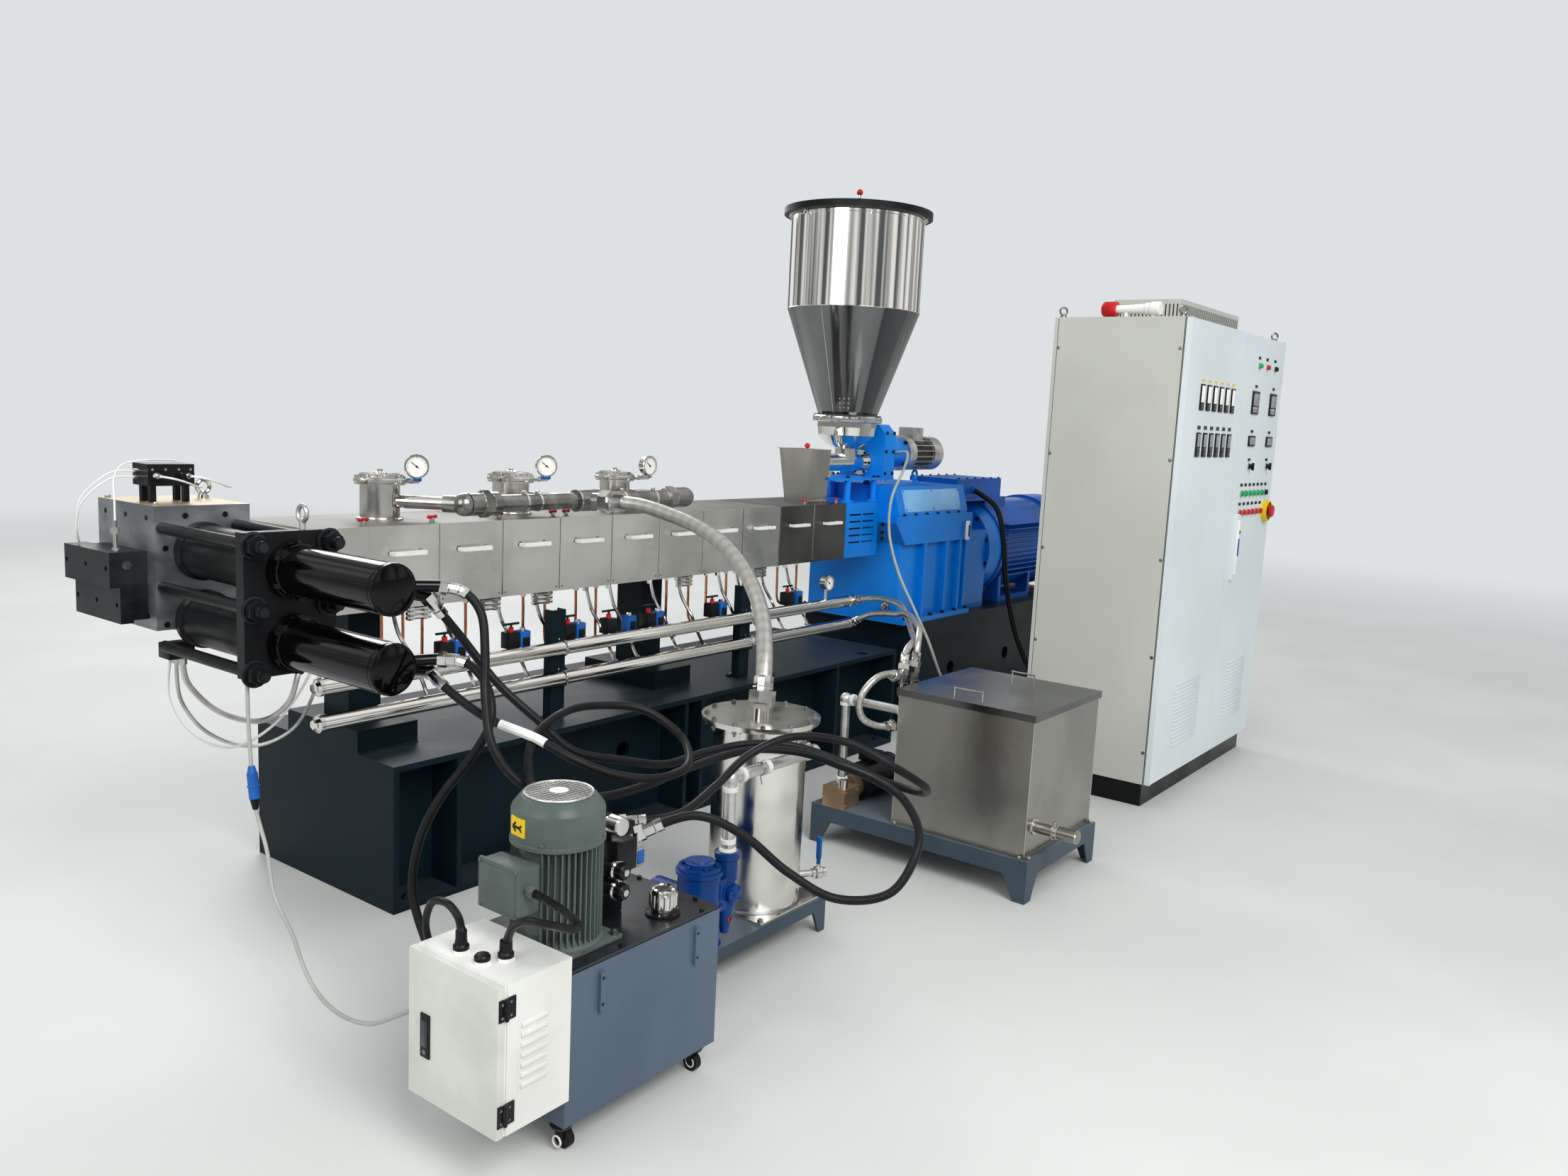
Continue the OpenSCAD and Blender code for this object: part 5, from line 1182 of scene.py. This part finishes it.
def vacuum_unit():
    """Lid bolts, clamps, pipe collars, drain valve, and the pump's caps, flanges and arrow."""
    pot, pump = (677, -1282), (240, -1432)
    for spot in circle((*pot, 700), UP, 165, 12, 10):
        bolt(spot, UP, 8)
        stud(spot - Vector((0, 0, 16)), DOWN, 12, 15, 0, 6)
        stud(spot - Vector((0, 0, 28)), DOWN, 8, 7, 0, 8)
    for x, y in product((-140, 140), (-140, 140)):
        bolt((pot[0] + x, pot[1] + y, 120), UP, 10)
    lathe((*pot, 686), UP, [(143, -2), (147, -2), (147, 0), (143, 0)], 0, 64)
    lathe((*pot, 120), UP, [(143, 0), (148, 0), (143, 6)], 0, 64)
    piece("pot_bolts", [bolt_steel])

    for x, z, axis in ((320, 430, UP), (320, 578, UP), (360, 615, ON), (470, 615, ON),
                       (672, 615, ON)):
        lathe((x, -1462, z), axis, [(16, 0), (22, 1), (22, 13), (16, 14)])
    lathe((320, -1462, 404), UP, [(16, 0), (26, 2), (24, 12), (16, 14)])
    ring((452, -1462, 615), ON, 19, 1.6, 1, 24)
    rod((452, -1462, 596), (452, -1470, 570), 3, 1, 8)
    piece("pipe_collars", [box_white, chrome])

    lathe((858, -1377, 167), (0.866, -0.5, 0), [(0, -2), (15, -2), (15, 8), (20, 12), (20, 30),
                                                (15, 34), (15, 46), (11, 47), (0, 47)])
    stud((876, -1387, 180), UP, 16, 10, 0, 12)
    box(873, -1394, 193, 6, 14, 92, 1, 2)
    box(871, -1396, 212, 10, 18, 74, 1, 3)
    piece("drain_valve", [chrome, blue_plastic])

    for z in (150, 262, 360):
        lathe((*pump, z), UP, [(59, 0), (66, 1), (66, 11), (59, 12)], 0, 40)
    for spot in circle((*pump, 380), UP, 48, 6):
        stud(spot, UP, 9, 12, 1, 6)
    lathe((*pump, 392), UP, [(0, 0), (30, 0), (27, 4), (0, 5)], 1)
    lathe((320, -1462, 330), UP, [(30, 58), (36, 60), (36, 78), (30, 80)], 0, 28)
    lathe((320, -1486, 292), NEAR, [(0, 0), (27, 0), (27, 10), (20, 14), (12, 14), (10, 18),
                                    (0, 19)], 0, 28)
    for spot in circle((320, -1496, 292), NEAR, 21, 4, 45):
        stud(spot, NEAR, 6, 8, 1, 6)
    for x in (238, 304):
        stud((x, -1482, 336), UP, 8, 12, 2, 4)
    box(316, -1483, 210, 8, 2, 30, 3)
    for s in (-1, 1):
        box(314 + s * 4, -1483, 208, 5, 2, 15, 3, turn=Matrix.Rotation(s * 0.6, 4, "Y"))
    piece("pump_trim", [pump_navy, pump_navy, satin_black, red_plastic])


def water_unit():
    """Welds and screws of the water tank, drain union, tap unions, pump caps and pipe collars."""
    second_finish("water_pump", satin_black, lambda c, n: c.x > 1612)
    second_finish("water_tank_lid", chrome, lambda c, n: c.z > 654)
    for x, y in product((1502, 2047), (-1803, -1273)):
        stud((x, y, 156), UP, 484, 3.4, 0, 8)
    for x, y in ((1512, -1815), (2036, -1815), (1494, -1290), (1494, -1790)):
        bolt((x, y, 154), UP, 8)
    x, z = 1567, 250
    lathe((x, -1803, z), NEAR, [(19, 0), (30, 0), (28, 5), (19, 6)], 0, 28)
    lathe((x, -1884, z), NEAR, [(19, -6), (25, -5), (25, 6), (23, 8)], 0, 28)
    ring((x, -1876, z), FAR, 25, 2.5)
    stud((x, -1876, z + 26), UP, 8, 12, 0, 10)
    lathe((x, -1960, z), NEAR, [(23, -4), (24, -3), (23, 2), (16, 3), (15, 1), (0, 1)], 0, 28)
    piece("tank_trim", [tank_steel])

    for x in (1620, 1700):
        stud((x, -1213, 676), UP, 24, 42, 0, 6)
        stud((x, -1213, 630), UP, 14, 38, 0, 16)
        stud((x, -1262, 600), NEAR, 12, 42, 0, 6)
    stud((1585, -1213, 680), ON, 15, 40, 0, 6)
    rod((1502, -1250, 510), (1494, -1243, 511), 38, 0, 6)
    for z in (540, 250):
        lathe((1530, -1025, z), UP, [(16, 0), (22, 1), (22, 13), (16, 14)], 1)
    for y in (-1052, -1262):
        lathe((1530, y, 565), NEAR, [(16, 0), (22, 1), (22, 11), (16, 12)], 1)
    lathe((1530, -1025, 230), UP, [(0, 0), (25, 0), (25, 16), (20, 20), (16, 20), (0, 20)], 0, 28)
    lathe((1500, -1056, 230), UP, [(0, 0), (16, 0), (16, 26), (18, 27), (18, 32), (12, 32),
                                   (11, 22), (0, 22)], 0, 28)
    for x, z in product((1492, 1568), (165, 215)):
        stud((x, -1075, z), NEAR, 5, 9, 0, 6)
    piece("water_fittings", [chrome, nylon_white])

    for i in range(12):
        box(1640 + 15 * i, -1098, 214, 5, 146, 12)
    lathe((1838, -1025, 220), ON, [(0, 0), (72, 0), (72, 30), (64, 38), (0, 38)], 0, 36)
    box(1690, -1060, 288, 80, 70, 36, 0, 4)
    piece("pump_motor_trim", [satin_black])


def cabinet_doors():
    """Controllers on the left door; meters, lamps, switches, buttons and handle on the right one;
    louvres on both."""
    door = -1751

    def plate(x, z, high=13):
        """The blank name plate over a meter, lamp or button."""
        box(x - 18, door - 2.5, z, 36, 2, high, 1)
    for i in range(6):
        x = 3006 + 84 * i
        box(x, -1758, 1715, 50, 8, 110, 0, 2)
        box(x + 6, -1759.4, 1748, 38, 3, 70, 1, 1)
        box(x + 8, -1759.2, 1722, 34, 3, 20, 2, 1)
        box(x + 6, -1753.5, 1838, 38, 2, 7, 4)
        box(x, -1758, 1517, 50, 8, 104, 0, 2)
        box(x + 6, -1759.4, 1560, 38, 3, 54, 3, 1)
        box(x + 6, -1759.4, 1524, 38, 3, 32, 2, 1)
        box(x + 5, -1753.5, 1634, 40, 2, 16, 2)
    piece("controllers", [satin_black, dial_white, display, meter_grey, yellow_plastic],
          "cabinet_leaf_left")

    for x, mat in ((3811, 3), (3936, 4), (4073, 0)):
        stud((x, door, 1949), NEAR, 6, 30, 2, 24)
        stud((x, door - 6, 1949), NEAR, 13, 24, mat, 24, 20)
        plate(x, 1980)
    for x in (3800, 4091):
        box(x - 50, -1760, 1722, 100, 10, 108, 0, 2)
        box(x - 42, -1762, 1762, 84, 4, 56, 5, 1)
        box(x - 42, -1761.4, 1730, 84, 3, 26, 2, 1)
        plate(x, 1846)
        box(x - 48, -1760, 1570, 96, 10, 50, 0, 2)
        box(x - 42, -1762, 1578, 84, 4, 34, 5, 1)
        plate(x, 1634)
        stud((x, door, 1474), NEAR, 6, 34, 2, 24)
        stud((x, door - 6, 1474), NEAR, 15, 24)
        box(x - 4, -1780, 1456, 8, 12, 36, 0, 1.5)
        plate(x, 1500)
    buttons = [(3722 + 66 * i, z, mat) for i in range(6) for z, mat in ((1345, 3), (1254, 4))]
    for x, z, mat in buttons + [(4118, 1345, 0)]:
        stud((x, door, z), NEAR, 7, 34, 2, 24)
        stud((x, door - 7, z), NEAR, 10, 26, mat, 20, 24)
        plate(x, z + 34, 14)
    lathe((4140, -1752, 1252), NEAR, [(44, 0), (52, 0), (52, 26), (44, 26)], 6, 32)
    stud((4140, door, 1252), NEAR, 21, 44, 0, 24)
    lathe((4140, -1772, 1252), NEAR, [(0, 0), (14, 0), (14, 10), (30, 12), (31, 20), (26, 26),
                                      (0, 28)], 4, 28)
    piece("door_controls", [satin_black, ink, chrome, green_plastic, red_plastic, meter_grey,
                            yellow_plastic], "cabinet_leaf_right")

    # The louvres take the doors' lit copy of the grey: painted light.
    for body, x0, x1, name in (("cabinet_leaf_left", 3057, 3377, "louvres_left"),
                               ("cabinet_leaf_right", 3785, 4062, "louvres_right")):
        for i in range(16):
            z = 232 + 18.5 * i
            box(x0, -1757, z, x1 - x0, 6, 9, 0, 2.2)
            box(x0 - 12, -1755, z + 2, 6, 3, 5)
        piece(name, [door_grey_lit], body)
    box(3672, -1776, 960, 26, 12, 262, 0, 4)
    box(3677, -1779, 1050, 16, 4, 84, 1, 1.5)
    stud((3685, -1778, 1165), NEAR, 2.5, 16, 2)
    piece("door_handle", [nylon_white, blue_plastic, bolt_steel], "cabinet_leaf_right")


def cabinet_shell():
    """Side screws, lifting eyes, panel joints, vent slots, plinth and lamp of the cabinet."""

    for y, z in product((-1712, -1172), (240, 660, 1080, 1500, 1960)):
        lathe((2831, y, z), BACK, [(0, 2), (5, 2), (8, 1), (8, 0), (0, 0)], 0, 16)
    for x, y in product((2856, 4206), (-1700, -1172)):
        lathe((x, y, 2090), UP, [(0, 0), (16, 0), (14, 8), (8, 12), (0, 12)], 0, 20)
        ring((x, y, 2118), (0.7, 0.7, 0), 16, 4.5, 0, 24)
    piece("cabinet_fixings", [bolt_steel])

    box(2830.6, -1724.5, 100, 1, 3, 1988)
    box(2830.6, -1166, 104, 1, 2, 1980)
    for i in range(50):
        box(3118 + 16 * i, -1600.6, 2108, 5, 1, 62)
    for i in range(17):
        box(3104.4, -1588 + 17 * i, 2108, 1, 5, 62)
    piece("cabinet_gaps", [ink])

    second_finish("cabinet", plinth_black, lambda c, n: c.z < 100)
    lathe((2920, -1582, 2130), FAR, [(0, 0), (26, 0), (30, 4), (30, 40), (26, 44), (26, 62),
                                     (22, 66), (18, 150), (18, 196), (0, 198)], 1, 28)
    lathe((2920, -1390, 2130), FAR, [(0, 0), (31, 0), (33, 6), (33, 54), (28, 62), (0, 64)], 0, 28)
    for y in (-1560, -1440):
        box(2908, y, 2089, 24, 14, 26, 1, 2)
    piece("warning_lamp", [red_plastic, nylon_white])


camera()
hoses()
hose_ends()
floor()
sky()
lamps()
gauges()
domes()
covers()
under_covers()
mains()
changer_block()
changer_lines()
cylinders()
hopper()
feeder()
gearbox()
base()
oil_motor()
oil_valves()
oil_tank()
small_box()
vacuum_unit()
water_unit()
cabinet_doors()
cabinet_shell()
